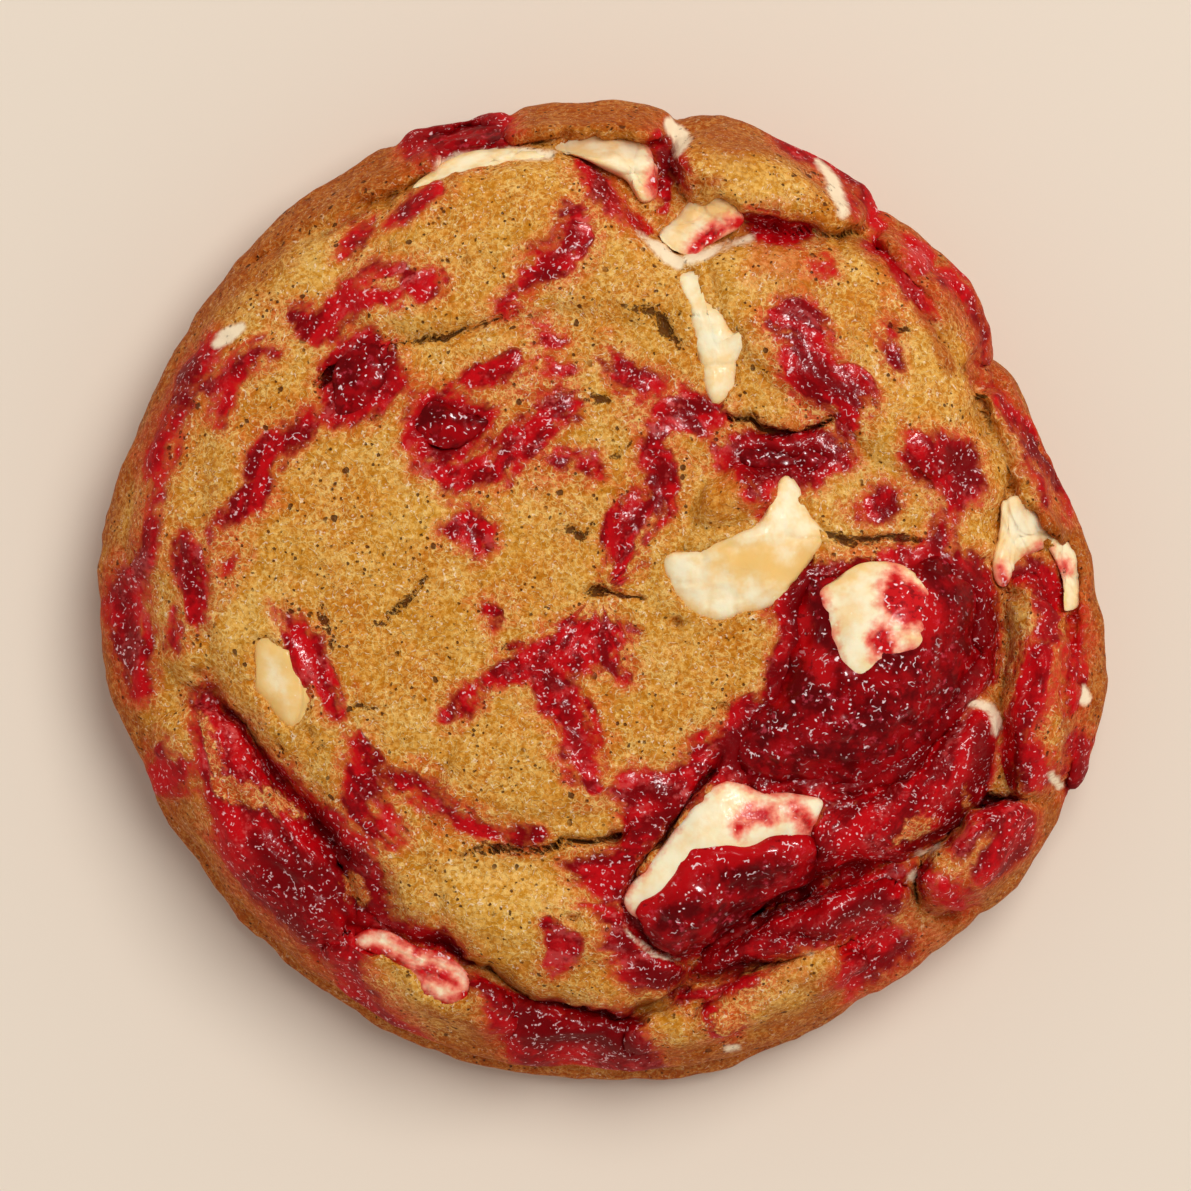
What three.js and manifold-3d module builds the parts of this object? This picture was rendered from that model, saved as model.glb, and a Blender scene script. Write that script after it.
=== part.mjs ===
// A thick soft-baked cookie with raspberry and white chocolate, in millimetres.
// +Z is up, the origin is the middle of the flat base, and from above +X is right and +Y is away.
// The dough is a low dome with a rounded wall. Folded lobes of dough stand on the dome, and where
// two lobes meet there is a crease. Pieces of white chocolate and raspberry sit in pockets that
// fit them, and cracks are cut into the crust.
import * as THREE from "three";
import { mergeVertices } from "three/addons/utils/BufferGeometryUtils.js";
import Module from "manifold-3d";

const wasm = await Module();
wasm.setup();

// ---------------------------------------------------------------- driving dimensions
const MEAN_RADIUS = 48.9;
const EQUATOR_HEIGHT = 9; // height of the widest line of the wall
const DOME_HEIGHT = 22; // height of the dome's middle, without its lobes
const DOME_FLATNESS = 2.6; // a larger number gives a flatter top and a rounder shoulder
const NOTCH_START = 0.8; // share of the radius at which a notch in the outline begins
const RIM_FADE = [0.93, 0.995]; // share of the radius over which the lobes sink into the wall
const FOOT_REACH = 1.0; // how far the base layer stands out where it shows
const FOOT_BEARINGS = [200, 300]; // degrees between which the base layer stands out
const FOOT_FADE = 14; // degrees over which it comes and goes
const CLEARANCE = 0.3; // gap round every embedded piece
const TOP_CELLS = 42; // cells along each side of the square grid that covers the top
const REST_SAMPLES = [-2, 0, 2]; // offsets over which the height under a piece is averaged
const SIDES_PER_POINT = 1.4; // sides of a piece for each point of its outline
const TOP_SHARES = [0.62, 0.88]; // shares of a piece's outline at which its top has rings
const UNDER_SHARES = [0.9, 0.6]; // the same for its underside
const CRACK_HEADROOM = 2; // height over the dough of the wedge that cuts a crack
const CRACK_BLUNTNESS = 4; // a larger number keeps a crack wide for longer towards its ends
const SPREAD_SAMPLES = [-0.5, -0.25, 0, 0.25, 0.5]; // offsets, in cells, over which a rise is averaged
const CURVE_STEPS = 3; // steps of a smooth curve for each of its points
const SECTION_STEPS = 240; // steps along the dome's section when its length is measured
const WELD_DISTANCE = 1e-4; // corners closer than this are one
const DOUGH_COLOUR = 0xc98c3d;
const DOUGH_ROUGHNESS = 0.6;

// [bearing in degrees, extra radius, spread in degrees]
const SWELLS = [
  [183, 1.6, 18],
  [343, 2.8, 18],
  [322, 1.0, 8],
  [283, 0.38, 14],
  [20, -2.2, 16],
  [50, -1.1, 16],
  [120, 0.4, 15],
];

// [bearing in degrees, depth, spread in degrees]
const NOTCHES = [
  [81, 1.5, 2.4],
  [30.5, 2.3, 3.2],
  [54, 1.0, 2.6],
  [101, 0.8, 2.4],
  [115, 0.6, 2.2],
  [336.5, 0.9, 2.6],
  [319.5, 0.7, 2.2],
];

// Rings of the wall below its widest line: [height, inset, extra inset where the foot stands out]
const WALL_RINGS = [
  [9, 0, 1],
  [7, 0.3, 1.5],
  [4.6, 1, -1],
  [2.6, 1.7, -1.4],
  [0.9, 2.8, -1.4],
  [0, 4, -1.4],
];

// The lobes of dough that stand on the dome. A lobe is a closed outline in plan, or a spine of
// [x, y, half width]. `rise` is its height over the dome, and `roll` the width of its rolled edge.
const LOBES = {
  cap: {
    rise: 4.2,
    roll: 4.5,
    outline: [
      [-41, 6], [-40.2, -5], [-35.5, -13.5], [-29, -21], [-24.5, -29], [-20.5, -33.8], [-13, -36.6],
      [-7, -40.6], [1, -41.6], [8, -39.5], [12, -33], [20, -29.3], [30, -26.3], [37.5, -21],
      [38.8, -10], [39, 3], [40.2, 11], [37, 20], [31, 30], [25, 35.2], [16, 36], [8, 33.5],
      [4.4, 36.5], [-1, 41.9], [-10, 43.7], [-20, 39.5], [-31, 35.2], [-38, 27.5], [-42, 16],
    ],
  },
  left_shoulder: { rise: 3.4, roll: 7, spine: [[-40, -6, 4], [-39, 6, 8], [-38, 19, 8], [-36, 28, 5]] },
  plateau: { rise: 5.6, roll: 4, spine: [[-23, 29.5, 5], [-15, 33, 8.5], [-5, 33.8, 8], [3, 29.5, 5]] },
  right_mass: {
    rise: 5.8, roll: 4,
    spine: [[13.5, 31, 3.5], [20, 27, 8.5], [28, 22, 9], [33.5, 14.5, 5]],
  },
  bun: {
    rise: 6, roll: 3.5,
    spine: [[10, 42.4, 3.2], [14.5, 41.8, 4.6], [20, 39.6, 3.8], [24.5, 37.4, 1.8]],
  },
  far_lobe: { rise: 4, roll: 1.7, spine: [[-8, 46, 1.4], [-1, 46.9, 1.8], [5.5, 46.4, 1.5]] },
  centre_mound: { rise: 5.4, roll: 3.5, spine: [[9.5, 2.6, 3.4], [14, 4, 6.2], [18, 7, 4]] },
  knob: { rise: 7.8, roll: 3.6, spine: [[12, 8.4, 3.3], [14.6, 9, 3.6]] },
  jam_mound: {
    rise: 6.8, roll: 6.5,
    spine: [[15.5, -16.6, 2.8], [22, -12.5, 6.4], [28.5, -8, 8.4], [31, -3, 6.6], [34, 0.6, 3]],
  },
  shelf: { rise: 5.4, roll: 5, spine: [[-16, -21, 4], [-8, -17.5, 7], [-1.5, -19, 5]] },
  near_lobe: { rise: 5.6, roll: 5, spine: [[-14, -31, 4.4], [-7, -33, 6.4], [-1, -34, 5]] },
  band: {
    rise: 5.4, roll: 2.6,
    spine: [[21, -24.4, 3], [28, -22.4, 3.2], [34, -19, 3.2], [37, -14, 2.2]],
  },
  corner_lobe: { rise: 5.6, roll: 3.2, spine: [[34, -29.2, 2.8], [38, -27.4, 4.6], [42.4, -24, 3.2]] },
  jam_fold: {
    rise: 4, roll: 2.5,
    spine: [[10, -36.8, 1.2], [16, -34.3, 2.5], [22, -32.8, 2.7], [28.5, -30.8, 2]],
  },
  golden_lobe: {
    rise: 3.6, roll: 2.6,
    spine: [[10.5, -43.6, 2], [15, -41.4, 3], [20, -38.8, 3.2], [25, -37, 1.6]],
  },
  low_lobe: { rise: 2.6, roll: 2, spine: [[4.5, -44.4, 1.8], [8, -44, 2.4]] },
  low_left_lobe: {
    rise: 3.2, roll: 3,
    spine: [[-25.5, -36.6, 2.4], [-18.5, -40.2, 4.4], [-12, -43, 3]],
  },
  left_flank: { rise: 2.6, roll: 4, spine: [[-41, -15, 3.4], [-36, -23, 5.4], [-30, -31, 5.2]] },
  right_ring: {
    rise: 4.6, roll: 3,
    spine: [[42.4, -1.4, 2], [43.8, -8, 3.6], [43.4, -15, 3.4], [42.8, -19, 2]],
  },
  far_right_ring: { rise: 4, roll: 2.4, spine: [[39.8, 18.6, 1.6], [42.6, 11.6, 2.6], [44.8, 5.4, 2]] },
  upper_right_ring: {
    rise: 4, roll: 1.8,
    spine: [[28.5, 35, 1.2], [32.8, 30.4, 1.8], [36.6, 24, 1.6]],
  },
  upper_left_ring: {
    rise: 3, roll: 1.8,
    spine: [[-36, 33, 1], [-29, 37.6, 1.7], [-22, 40.9, 1.7], [-17.5, 43.2, 1]],
  },
};

// Embedded pieces. The outline is seen from above and is drawn in to its centre. The top stands
// `proud` over the dough round it, the rim lies `edge` lower, and the piece is `thick` in all.
const IVORY = { roughness: 0.4, squareness: 5 };
const FRUIT = { roughness: 0.2, squareness: 2.6 };
const PIECES = {
  white_chocolate_far: {
    ...IVORY, colour: 0xf7dcab, thick: 6, proud: 1.1, edge: 1.6, centre: [2.6, 42.6],
    outline: [
      [5.6, 41.8], [4.9, 43.8], [3.4, 45.2], [1.1, 45.2], [-0.7, 46], [-3.8, 45.1], [-5.2, 44],
      [-2.3, 43], [0.3, 41.9], [2.6, 40.7], [3.9, 38.7], [5.1, 38.9],
    ],
  },
  white_chocolate_cube: {
    ...IVORY, colour: 0xf8cb8c, thick: 6, proud: 0.9, edge: 1.2, centre: [9.8, 36.5],
    outline: [
      [5.6, 35.2], [6.7, 33.9], [8.8, 33.1], [10.8, 34.5], [14, 36.6], [13.2, 38.3], [11.3, 39.5],
      [9.6, 39.2], [7.6, 37.2],
    ],
  },
  white_chocolate_drip: {
    ...IVORY, colour: 0xfae8bc, thick: 5, proud: 0.9, edge: 1.3, centre: [11.2, 24.2],
    outline: [
      [14.4, 24.3], [14.9, 26.4], [13.2, 25.7], [11.9, 27.4], [10.1, 29.2], [9.3, 32], [7.6, 31.6],
      [8.4, 27.9], [9.2, 24.1], [10, 20.5], [11.1, 18.2], [13.1, 20], [13.5, 22.3],
    ],
  },
  white_chocolate_left: {
    ...IVORY, colour: 0xeec276, thick: 5, proud: 0.6, edge: 0.9, centre: [-31.9, -9.6],
    outline: [
      [-29.1, -10.5], [-30.4, -8.2], [-31.9, -5.6], [-33.7, -4.8], [-34.8, -7.4], [-34.3, -10],
      [-33.2, -12], [-31.2, -14.1], [-29.9, -13.3],
    ],
  },
  white_chocolate_centre: {
    ...IVORY, colour: 0xf7daa4, thick: 5, proud: 0.7, edge: 1.3, centre: [15.5, 2],
    outline: [
      [20, 1.6], [22.1, 5.4], [20.6, 7.4], [19.4, 10.8], [18.2, 11.5], [17, 9.6], [15.6, 6.8],
      [12, 5], [8.3, 3.9], [6.1, 3.3], [6.9, 0], [8.3, -1.9], [10.6, -3], [13.1, -2.8], [17, -1.4],
    ],
  },
  white_chocolate_mound: {
    ...IVORY, colour: 0xf6cd96, thick: 6, proud: 2.3, edge: 1.6, centre: [26.6, -3],
    outline: [
      [32.6, -2.6], [32, 0.2], [30.6, 1.8], [28.2, 2.7], [25.4, 2.6], [23.1, 1.2], [21.2, -0.6],
      [21.8, -3.8], [22.9, -6.8], [24.2, -9], [26.2, -9.9], [27.8, -8.3], [30.2, -7], [32.2, -5.2],
    ],
  },
  white_chocolate_block: {
    ...IVORY, colour: 0xebc9a8, thick: 8, proud: 1.6, edge: 1.8, centre: [12, -26.4],
    outline: [
      [19.4, -27.6], [21.2, -23.4], [22, -20.7], [16.4, -20.1], [11.4, -18.4], [7.4, -22.4],
      [4.7, -25.9], [1.7, -30.6], [3.8, -32.6], [9, -33], [14.6, -31],
    ],
  },
  white_chocolate_right: {
    ...IVORY, colour: 0xf7d293, thick: 4, proud: 0.8, edge: 1.2, centre: [41.2, 5.6],
    outline: [
      [43.7, 6.2], [43.4, 8.1], [41.8, 9.4], [40, 8.8], [39.5, 6], [39.2, 1], [40, 0.4], [40.9, 2.6],
      [42.4, 4.3],
    ],
  },
  white_chocolate_fold: {
    ...IVORY, colour: 0xf3d3a0, thick: 3, proud: 0.8, edge: 1.2, centre: [46.2, 2.6],
    outline: [
      [47.7, 1.1], [47.4, 3.9], [45.9, 5.5], [43.9, 5.8], [45.1, 2.6], [45.9, 0], [46.1, -2.1],
      [47.4, -1.6],
    ],
  },
  white_chocolate_near: {
    ...IVORY, colour: 0xe6b89c, thick: 4, proud: 0.8, edge: 1.2, centre: [-17.6, -37.8],
    outline: [
      [-13.1, -38.1], [-15.6, -36], [-18.1, -35.5], [-21.4, -33.9], [-23.6, -33.9], [-24.9, -35.1],
      [-21.8, -36.6], [-19, -38.5], [-17.6, -40.3], [-15.8, -41.3], [-12.6, -40.2],
    ],
  },
  white_chocolate_rim: {
    ...IVORY, colour: 0xf4d9a2, thick: 3.4, proud: 0.7, edge: 1, centre: [-10.6, 42.8],
    outline: [
      [-4.6, 42.4], [-5.2, 43.7], [-9, 44], [-13, 43.7], [-16, 42.5], [-18.8, 39.9], [-15, 41.1],
      [-12.5, 41.9], [-8, 41.8],
    ],
  },
  raspberry_mound: {
    ...FRUIT, colour: 0x73080d, thick: 6, proud: 1.6, edge: 3, centre: [26, -9],
    outline: [
      [36.2, -10.5], [38.5, -6.4], [38.1, -2], [36.8, 1.7], [33, 3.4], [29.5, 2.2], [25, 1.5],
      [20.4, 1.9], [18.6, -1.2], [18.6, -5.6], [17.6, -10], [13.6, -13.4], [11.7, -16.9],
      [14.4, -19.1], [21, -19.4], [27.4, -19], [32.8, -15.6],
    ],
  },
  raspberry_cover: {
    ...FRUIT, colour: 0x7a0508, thick: 6, proud: 3, edge: 3, centre: [12, -29.6],
    outline: [
      [21.6, -28.8], [21.4, -24.6], [18.6, -23.9], [14.4, -24.9], [9.4, -24.8], [6.6, -27.8],
      [2.7, -31.9], [3.8, -33.9], [5.4, -35.3], [8, -36], [13, -33.8], [17.6, -31],
    ],
  },
  raspberry_centre: {
    ...FRUIT, colour: 0x8a0405, thick: 3, proud: 0.1, edge: 0.7, centre: [-15.2, 16.3],
    outline: [
      [-11.2, 16.8], [-13.8, 17.6], [-15.3, 18.8], [-17.5, 18.6], [-18.8, 16.6], [-17, 14.1],
      [-15, 13.8], [-12.9, 15],
    ],
  },
  raspberry_rim: {
    ...FRUIT, colour: 0x8c0d18, thick: 3.4, proud: 1, edge: 1.6, centre: [-14, 45.2],
    outline: [
      [-9.8, 44.9], [-10.4, 46.6], [-14, 46.7], [-17, 46], [-18.8, 44.7], [-17.6, 43.8],
      [-12.5, 44],
    ],
  },
  raspberry_left: {
    ...FRUIT, colour: 0xa01e28, thick: 3, proud: 0.4, edge: 1, centre: [-24, 21],
    outline: [
      [-21.5, 20.1], [-21.3, 23], [-22.7, 24.4], [-25, 23.7], [-26.4, 22], [-26.6, 19.4],
      [-26, 17.6], [-23, 18.3],
    ],
  },
  raspberry_pocket: {
    ...FRUIT, colour: 0x95101a, thick: 3, proud: 0.3, edge: 1, centre: [17.8, 12.9],
    outline: [
      [23.5, 13], [21.3, 14.4], [17.8, 14.1], [14.9, 14.7], [12.4, 13.3], [14.8, 11.9], [17.7, 11.5],
      [21.3, 11.6],
    ],
  },
};

// Cracks in the crust: their line in plan, half width and depth.
const CRACKS = [
  { half: 0.7, depth: 3, line: [[12.4, 17.4], [15, 16.3], [17, 15.3], [19, 15.4], [22, 16.2]] },
  { half: 0.5, depth: 1.8, line: [[-23, -3.5], [-20.8, -1.6], [-19.3, 0], [-17.3, 1.5]] },
  { half: 0.5, depth: 1.6, line: [[-28.2, -0.6], [-27.8, -2.6], [-27, -4.6]] },
  { half: 0.6, depth: 2.4, line: [[-2.6, -0.4], [-0.8, -0.2], [0.8, -0.2]] },
  { half: 0.5, depth: 1.6, line: [[-4.8, 6.4], [-3, 6], [-1.7, 5.6]] },
  { half: 0.6, depth: 2.2, line: [[21.5, 5.8], [24, 5], [26.5, 4.7], [28.5, 5.3], [31, 4.8]] },
  { half: 0.8, depth: 3.2, line: [[37.2, -22], [39.2, -21.2], [41.4, -21.2]] },
  { half: 0.8, depth: 3, line: [[-28, 20.8], [-27.1, 22], [-26.2, 23.2]] },
  { half: 0.5, depth: 2.2, line: [[-20.4, 24], [-18.3, 24.9], [-15, 25.4]] },
  { half: 0.6, depth: 2.6, line: [[-13.4, -26], [-10.6, -25.4], [-7, -26], [-3.6, -25.3], [1.2, -23.9]] },
];

// ---------------------------------------------------------------- plain mathematics
const DEGREE = Math.PI / 180;

/** Smooth step from 0 at `low` to 1 at `high`. */
function smoothStep(low, high, value) {
  const t = Math.min(1, Math.max(0, (value - low) / (high - low)));
  return t * t * (3 - 2 * t);
}

/** Signed difference of two bearings, in degrees from -180 to 180. */
function turnBetween(a, b) {
  return ((a - b + 540) % 360) - 180;
}

/** A smooth curve through a list of [x, y] or [x, y, half width], as a list of points. */
function smoothPoints(list, closed) {
  const points = list.map(([x, y, half = 0]) => new THREE.Vector3(x, y, half));
  const curve = new THREE.CatmullRomCurve3(points, closed, "centripetal");
  return curve.getPoints(list.length * CURVE_STEPS).slice(0, closed ? -1 : undefined);
}

/** Nearest place on the segment from a to b to (x, y): [distance, share of the segment]. */
function nearestOn(a, b, x, y) {
  const dx = b.x - a.x;
  const dy = b.y - a.y;
  const t = Math.min(1, Math.max(0, ((x - a.x) * dx + (y - a.y) * dy) / (dx * dx + dy * dy)));
  return [Math.hypot(x - a.x - t * dx, y - a.y - t * dy), t];
}

/** Depth of a place inside a closed outline: its distance to the nearest edge, or 0 outside. */
function depthInOutline(outline, x, y) {
  let inside = false;
  let nearest = Infinity;
  outline.forEach((a, i) => {
    const b = outline[(i + 1) % outline.length];
    if (a.y > y !== b.y > y && x < ((b.x - a.x) * (y - a.y)) / (b.y - a.y) + a.x) inside = !inside;
    nearest = Math.min(nearest, nearestOn(a, b, x, y)[0]);
  });
  return inside ? nearest : 0;
}

/** Depth of a place inside the ribbon round a spine, whose z holds the half width, or 0 outside. */
function depthInRibbon(spine, x, y) {
  let deepest = 0;
  for (let i = 1; i < spine.length; i++) {
    const [distance, t] = nearestOn(spine[i - 1], spine[i], x, y);
    const half = spine[i - 1].z + t * (spine[i].z - spine[i - 1].z);
    deepest = Math.max(deepest, half - distance);
  }
  return deepest;
}

// ---------------------------------------------------------------- the dough's surface
const lobes = Object.values(LOBES).map(({ rise, roll, outline, spine }) => {
  const path = smoothPoints(outline ?? spine, Boolean(outline));
  return { rise, roll, depthAt: (outline ? depthInOutline : depthInRibbon).bind(null, path) };
});

/** Radius of the outline at a bearing, without its notches. */
function outlineRadius(bearing) {
  const degrees = bearing / DEGREE;
  return SWELLS.reduce(
    (sum, [at, extra, spread]) => sum + extra * Math.exp(-((turnBetween(degrees, at) / spread) ** 2)),
    MEAN_RADIUS,
  );
}

/** Depth of the notches in the outline at a bearing. */
function notchDepth(bearing) {
  const degrees = bearing / DEGREE;
  return NOTCHES.reduce(
    (sum, [at, depth, spread]) => sum + depth * Math.exp(-Math.abs(turnBetween(degrees, at)) / spread),
    0,
  );
}

/** How far the base layer stands out at a bearing, from 0 to 1. */
function footShare(bearing) {
  const degrees = (bearing / DEGREE + 360) % 360;
  const [from, to] = FOOT_BEARINGS;
  return smoothStep(from - FOOT_FADE, from + FOOT_FADE, degrees) *
    (1 - smoothStep(to - FOOT_FADE, to + FOOT_FADE, degrees));
}

/** Height of the dome at a share of the radius. */
function domeHeight(share) {
  const fall = Math.max(0, 1 - share ** DOME_FLATNESS);
  return EQUATOR_HEIGHT + (DOME_HEIGHT - EQUATOR_HEIGHT) * Math.sqrt(fall);
}

/** Rise of the highest lobe over the dome. A lobe's edge is rolled as a quarter circle. */
function lobeRise(x, y) {
  return lobes.reduce((highest, { depthAt, rise, roll }) => {
    const inward = Math.min(1, depthAt(x, y) / roll);
    return Math.max(highest, rise * Math.sqrt(1 - (1 - inward) ** 2));
  }, 0);
}

/** Height of the dough at a place in plan. */
function doughHeight(x, y) {
  const share = Math.min(1, Math.hypot(x, y) / outlineRadius(Math.atan2(y, x)));
  return domeHeight(share) + lobeRise(x, y) * (1 - smoothStep(...RIM_FADE, share));
}

/** Even steps along the dome's section, as a function from 0..1 to a share of the radius. */
function evenSection() {
  const shares = [0];
  const lengths = [0];
  for (let i = 1; i <= SECTION_STEPS; i++) {
    shares.push(Math.sin((i / SECTION_STEPS) * Math.PI / 2));
    const along = (shares[i] - shares[i - 1]) * MEAN_RADIUS;
    const down = domeHeight(shares[i]) - domeHeight(shares[i - 1]);
    lengths.push(lengths[i - 1] + Math.hypot(along, down));
  }
  return (t) => {
    const wanted = t * lengths[SECTION_STEPS];
    const after = Math.max(1, lengths.findIndex((length) => length >= wanted - WELD_DISTANCE));
    const part = (wanted - lengths[after - 1]) / (lengths[after] - lengths[after - 1]);
    return shares[after - 1] + part * (shares[after] - shares[after - 1]);
  };
}

/** A place on the square from -1 to 1 laid onto the disc: [radius from 0 to 1, bearing]. */
function squareToDisc(a, b) {
  if (a === 0 && b === 0) return [0, 0];
  if (Math.abs(a) > Math.abs(b)) return a > 0
    ? [a, (Math.PI / 4) * (b / a)]
    : [-a, Math.PI + (Math.PI / 4) * (b / a)];
  return b > 0
    ? [b, Math.PI / 2 - (Math.PI / 4) * (a / b)]
    : [-b, -Math.PI / 2 - (Math.PI / 4) * (a / b)];
}

/** The whole dough as one closed geometry: the top's grid, the wall's rings and the flat base. */
function doughGeometry() {
  const shareAt = evenSection();
  const cell = (2 * MEAN_RADIUS) / TOP_CELLS;
  const positions = [];
  const faces = [];
  const row = TOP_CELLS + 1;
  const add = (x, y, z) => positions.push(x, y, z) / 3 - 1;
  for (let j = 0; j <= TOP_CELLS; j++) {
    for (let i = 0; i <= TOP_CELLS; i++) {
      const [t, bearing] = squareToDisc((2 * i) / TOP_CELLS - 1, (2 * j) / TOP_CELLS - 1);
      const share = shareAt(t);
      const inset = footShare(bearing) * FOOT_REACH + notchDepth(bearing);
      const radius = share * outlineRadius(bearing) - inset * smoothStep(NOTCH_START, 1, share);
      const x = radius * Math.cos(bearing);
      const y = radius * Math.sin(bearing);
      let rise = 0;
      for (const dx of SPREAD_SAMPLES)
        for (const dy of SPREAD_SAMPLES) rise += lobeRise(x + dx * cell, y + dy * cell);
      rise /= SPREAD_SAMPLES.length ** 2;
      add(x, y, domeHeight(share) + rise * (1 - smoothStep(...RIM_FADE, share)));
    }
  }
  for (let j = 0; j < TOP_CELLS; j++) {
    for (let i = 0; i < TOP_CELLS; i++) {
      const a = j * row + i;
      // The diagonal points at the middle, so that no cell folds at the square's corners.
      const rising = i < TOP_CELLS / 2 === j < TOP_CELLS / 2;
      if (rising) faces.push(a, a + 1, a + row + 1, a, a + row + 1, a + row);
      else faces.push(a, a + 1, a + row, a + 1, a + row + 1, a + row);
    }
  }
  // The square's border, anticlockwise from its near left corner, is the wall's first ring.
  const rim = [];
  for (let i = 0; i < TOP_CELLS; i++) rim.push(i);
  for (let j = 0; j < TOP_CELLS; j++) rim.push(j * row + TOP_CELLS);
  for (let i = TOP_CELLS; i > 0; i--) rim.push(TOP_CELLS * row + i);
  for (let j = TOP_CELLS; j > 0; j--) rim.push(j * row);
  const bearings = rim.map((v) => Math.atan2(positions[3 * v + 1], positions[3 * v]));
  let above = rim;
  for (const [height, inset, footInset] of WALL_RINGS.slice(1)) {
    const ring = bearings.map((bearing) => {
      const radius = outlineRadius(bearing) - notchDepth(bearing) * (height / EQUATOR_HEIGHT) -
        inset - footShare(bearing) * footInset;
      return add(radius * Math.cos(bearing), radius * Math.sin(bearing), height);
    });
    ring.forEach((v, i) => {
      const next = (i + 1) % ring.length;
      faces.push(above[i], v, ring[next], above[i], ring[next], above[next]);
    });
    above = ring;
  }
  const middle = add(0, 0, 0);
  above.forEach((v, i) => faces.push(middle, above[(i + 1) % above.length], v));
  return new THREE.BufferGeometry()
    .setAttribute("position", new THREE.Float32BufferAttribute(positions, 3))
    .setIndex(faces);
}

// ---------------------------------------------------------------- embedded pieces and cracks
/** Height that an embedded piece rests at: the dough's mean height over a small square. */
function restHeight(x, y) {
  let sum = 0;
  for (const dx of REST_SAMPLES) for (const dy of REST_SAMPLES) sum += doughHeight(x + dx, y + dy);
  return sum / REST_SAMPLES.length ** 2;
}

/**
 * A closed solid between two poles from rings of points, each ring as a list of [x, y, z] that
 * runs anticlockwise seen from above, from the highest ring to the lowest.
 */
function ringedGeometry(top, rings, bottom) {
  const sides = rings[0].length;
  const positions = [...top, ...rings.flat(2), ...bottom];
  const last = 1 + rings.length * sides;
  const faces = [];
  for (let j = 0; j < sides; j++) {
    const k = (j + 1) % sides;
    faces.push(0, 1 + j, 1 + k);
    for (let i = 1; i < rings.length; i++) {
      const above = 1 + (i - 1) * sides;
      const below = above + sides;
      faces.push(above + j, below + j, below + k, above + j, below + k, above + k);
    }
    faces.push(last, last - sides + k, last - sides + j);
  }
  return new THREE.BufferGeometry()
    .setAttribute("position", new THREE.Float32BufferAttribute(positions, 3))
    .setIndex(faces);
}

/**
 * An embedded piece, draped on the dough: its outline drawn in to its centre. The top falls from
 * `proud` at the centre to the rim's level as a superellipse, and the underside mirrors it.
 * `grow` adds to its size all round, twice as much up and down because it lies on a slope.
 */
function pieceGeometry({ outline, centre, thick, proud, edge, squareness }, grow) {
  const [cx, cy] = centre;
  const points = outline.map(([x, y]) => new THREE.Vector3(x, y, 0));
  const sides = Math.round(outline.length * SIDES_PER_POINT);
  const edgeLine = new THREE.CatmullRomCurve3(points, true, "centripetal").getPoints(sides).slice(0, -1);
  const profile = (share) => Math.sqrt(1 - share ** squareness);
  const at = (point, share, level) => {
    const dx = point.x - cx;
    const dy = point.y - cy;
    const reach = share * (1 + grow / Math.hypot(dx, dy));
    const x = cx + dx * reach;
    const y = cy + dy * reach;
    return [x, y, restHeight(x, y) + level];
  };
  const rim = proud - edge;
  const topLevel = (share) => rim + (edge + 2 * grow) * profile(share);
  const underLevel = (share) => rim - (thick - edge + 2 * grow) * profile(share);
  const rings = [
    ...TOP_SHARES.map((share) => edgeLine.map((point) => at(point, share, topLevel(share)))),
    edgeLine.map((point) => at(point, 1, rim)),
    ...UNDER_SHARES.map((share) => edgeLine.map((point) => at(point, share, underLevel(share)))),
  ];
  const pole = (level) => [cx, cy, restHeight(cx, cy) + level];
  return ringedGeometry(pole(topLevel(0)), rings, pole(underLevel(0)));
}

/** A wedge along a crack's line, a flat diamond in section that closes to a point at both ends. */
function wedgeGeometry({ half, depth, line }) {
  const points = line.map(([x, y]) => new THREE.Vector3(x, y, 0));
  const curve = new THREE.CatmullRomCurve3(points, false, "centripetal");
  const steps = line.length + 1;
  const right = [];
  const left = [];
  const ridge = [];
  for (let i = 0; i <= steps; i++) {
    const { x, y } = curve.getPoint(i / steps);
    const along = curve.getTangent(i / steps);
    const width = half * Math.sqrt(1 - Math.abs((2 * i) / steps - 1) ** CRACK_BLUNTNESS);
    const level = doughHeight(x, y);
    right.push([x + along.y * width, y - along.x * width, level]);
    left.push([x - along.y * width, y + along.x * width, level]);
    ridge.push([x, y, level]);
  }
  const positions = [];
  const faces = [];
  for (let i = 0; i <= steps; i++) {
    const rise = i === 0 || i === steps ? 0 : 1;
    const [x, y, level] = ridge[i];
    positions.push(...right[i], x, y, level + CRACK_HEADROOM * rise);
    positions.push(...left[i], x, y, level - depth * rise);
  }
  for (let i = 0; i < steps; i++)
    for (let j = 0; j < 4; j++) {
      const a = 4 * i + j;
      const b = 4 * i + ((j + 1) % 4);
      faces.push(a, b, b + 4, a, b + 4, a + 4);
    }
  return new THREE.BufferGeometry()
    .setAttribute("position", new THREE.Float32BufferAttribute(positions, 3))
    .setIndex(faces);
}

/** A geometry as a solid that can be cut and joined. */
function solidOf(geometry) {
  const merged = mergeVertices(geometry, WELD_DISTANCE);
  const mesh = new wasm.Mesh({
    numProp: 3,
    vertProperties: new Float32Array(merged.attributes.position.array),
    triVerts: new Uint32Array(merged.index.array),
  });
  const solid = new wasm.Manifold(mesh);
  if (solid.volume() > 0) return solid;
  for (let i = 0; i < mesh.triVerts.length; i += 3)
    [mesh.triVerts[i + 1], mesh.triVerts[i + 2]] = [mesh.triVerts[i + 2], mesh.triVerts[i + 1]];
  return new wasm.Manifold(mesh);
}

/** A solid's largest body. */
function largestBody(solid) {
  return solid.decompose().reduce((best, body) => (body.volume() > best.volume() ? body : best));
}

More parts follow.
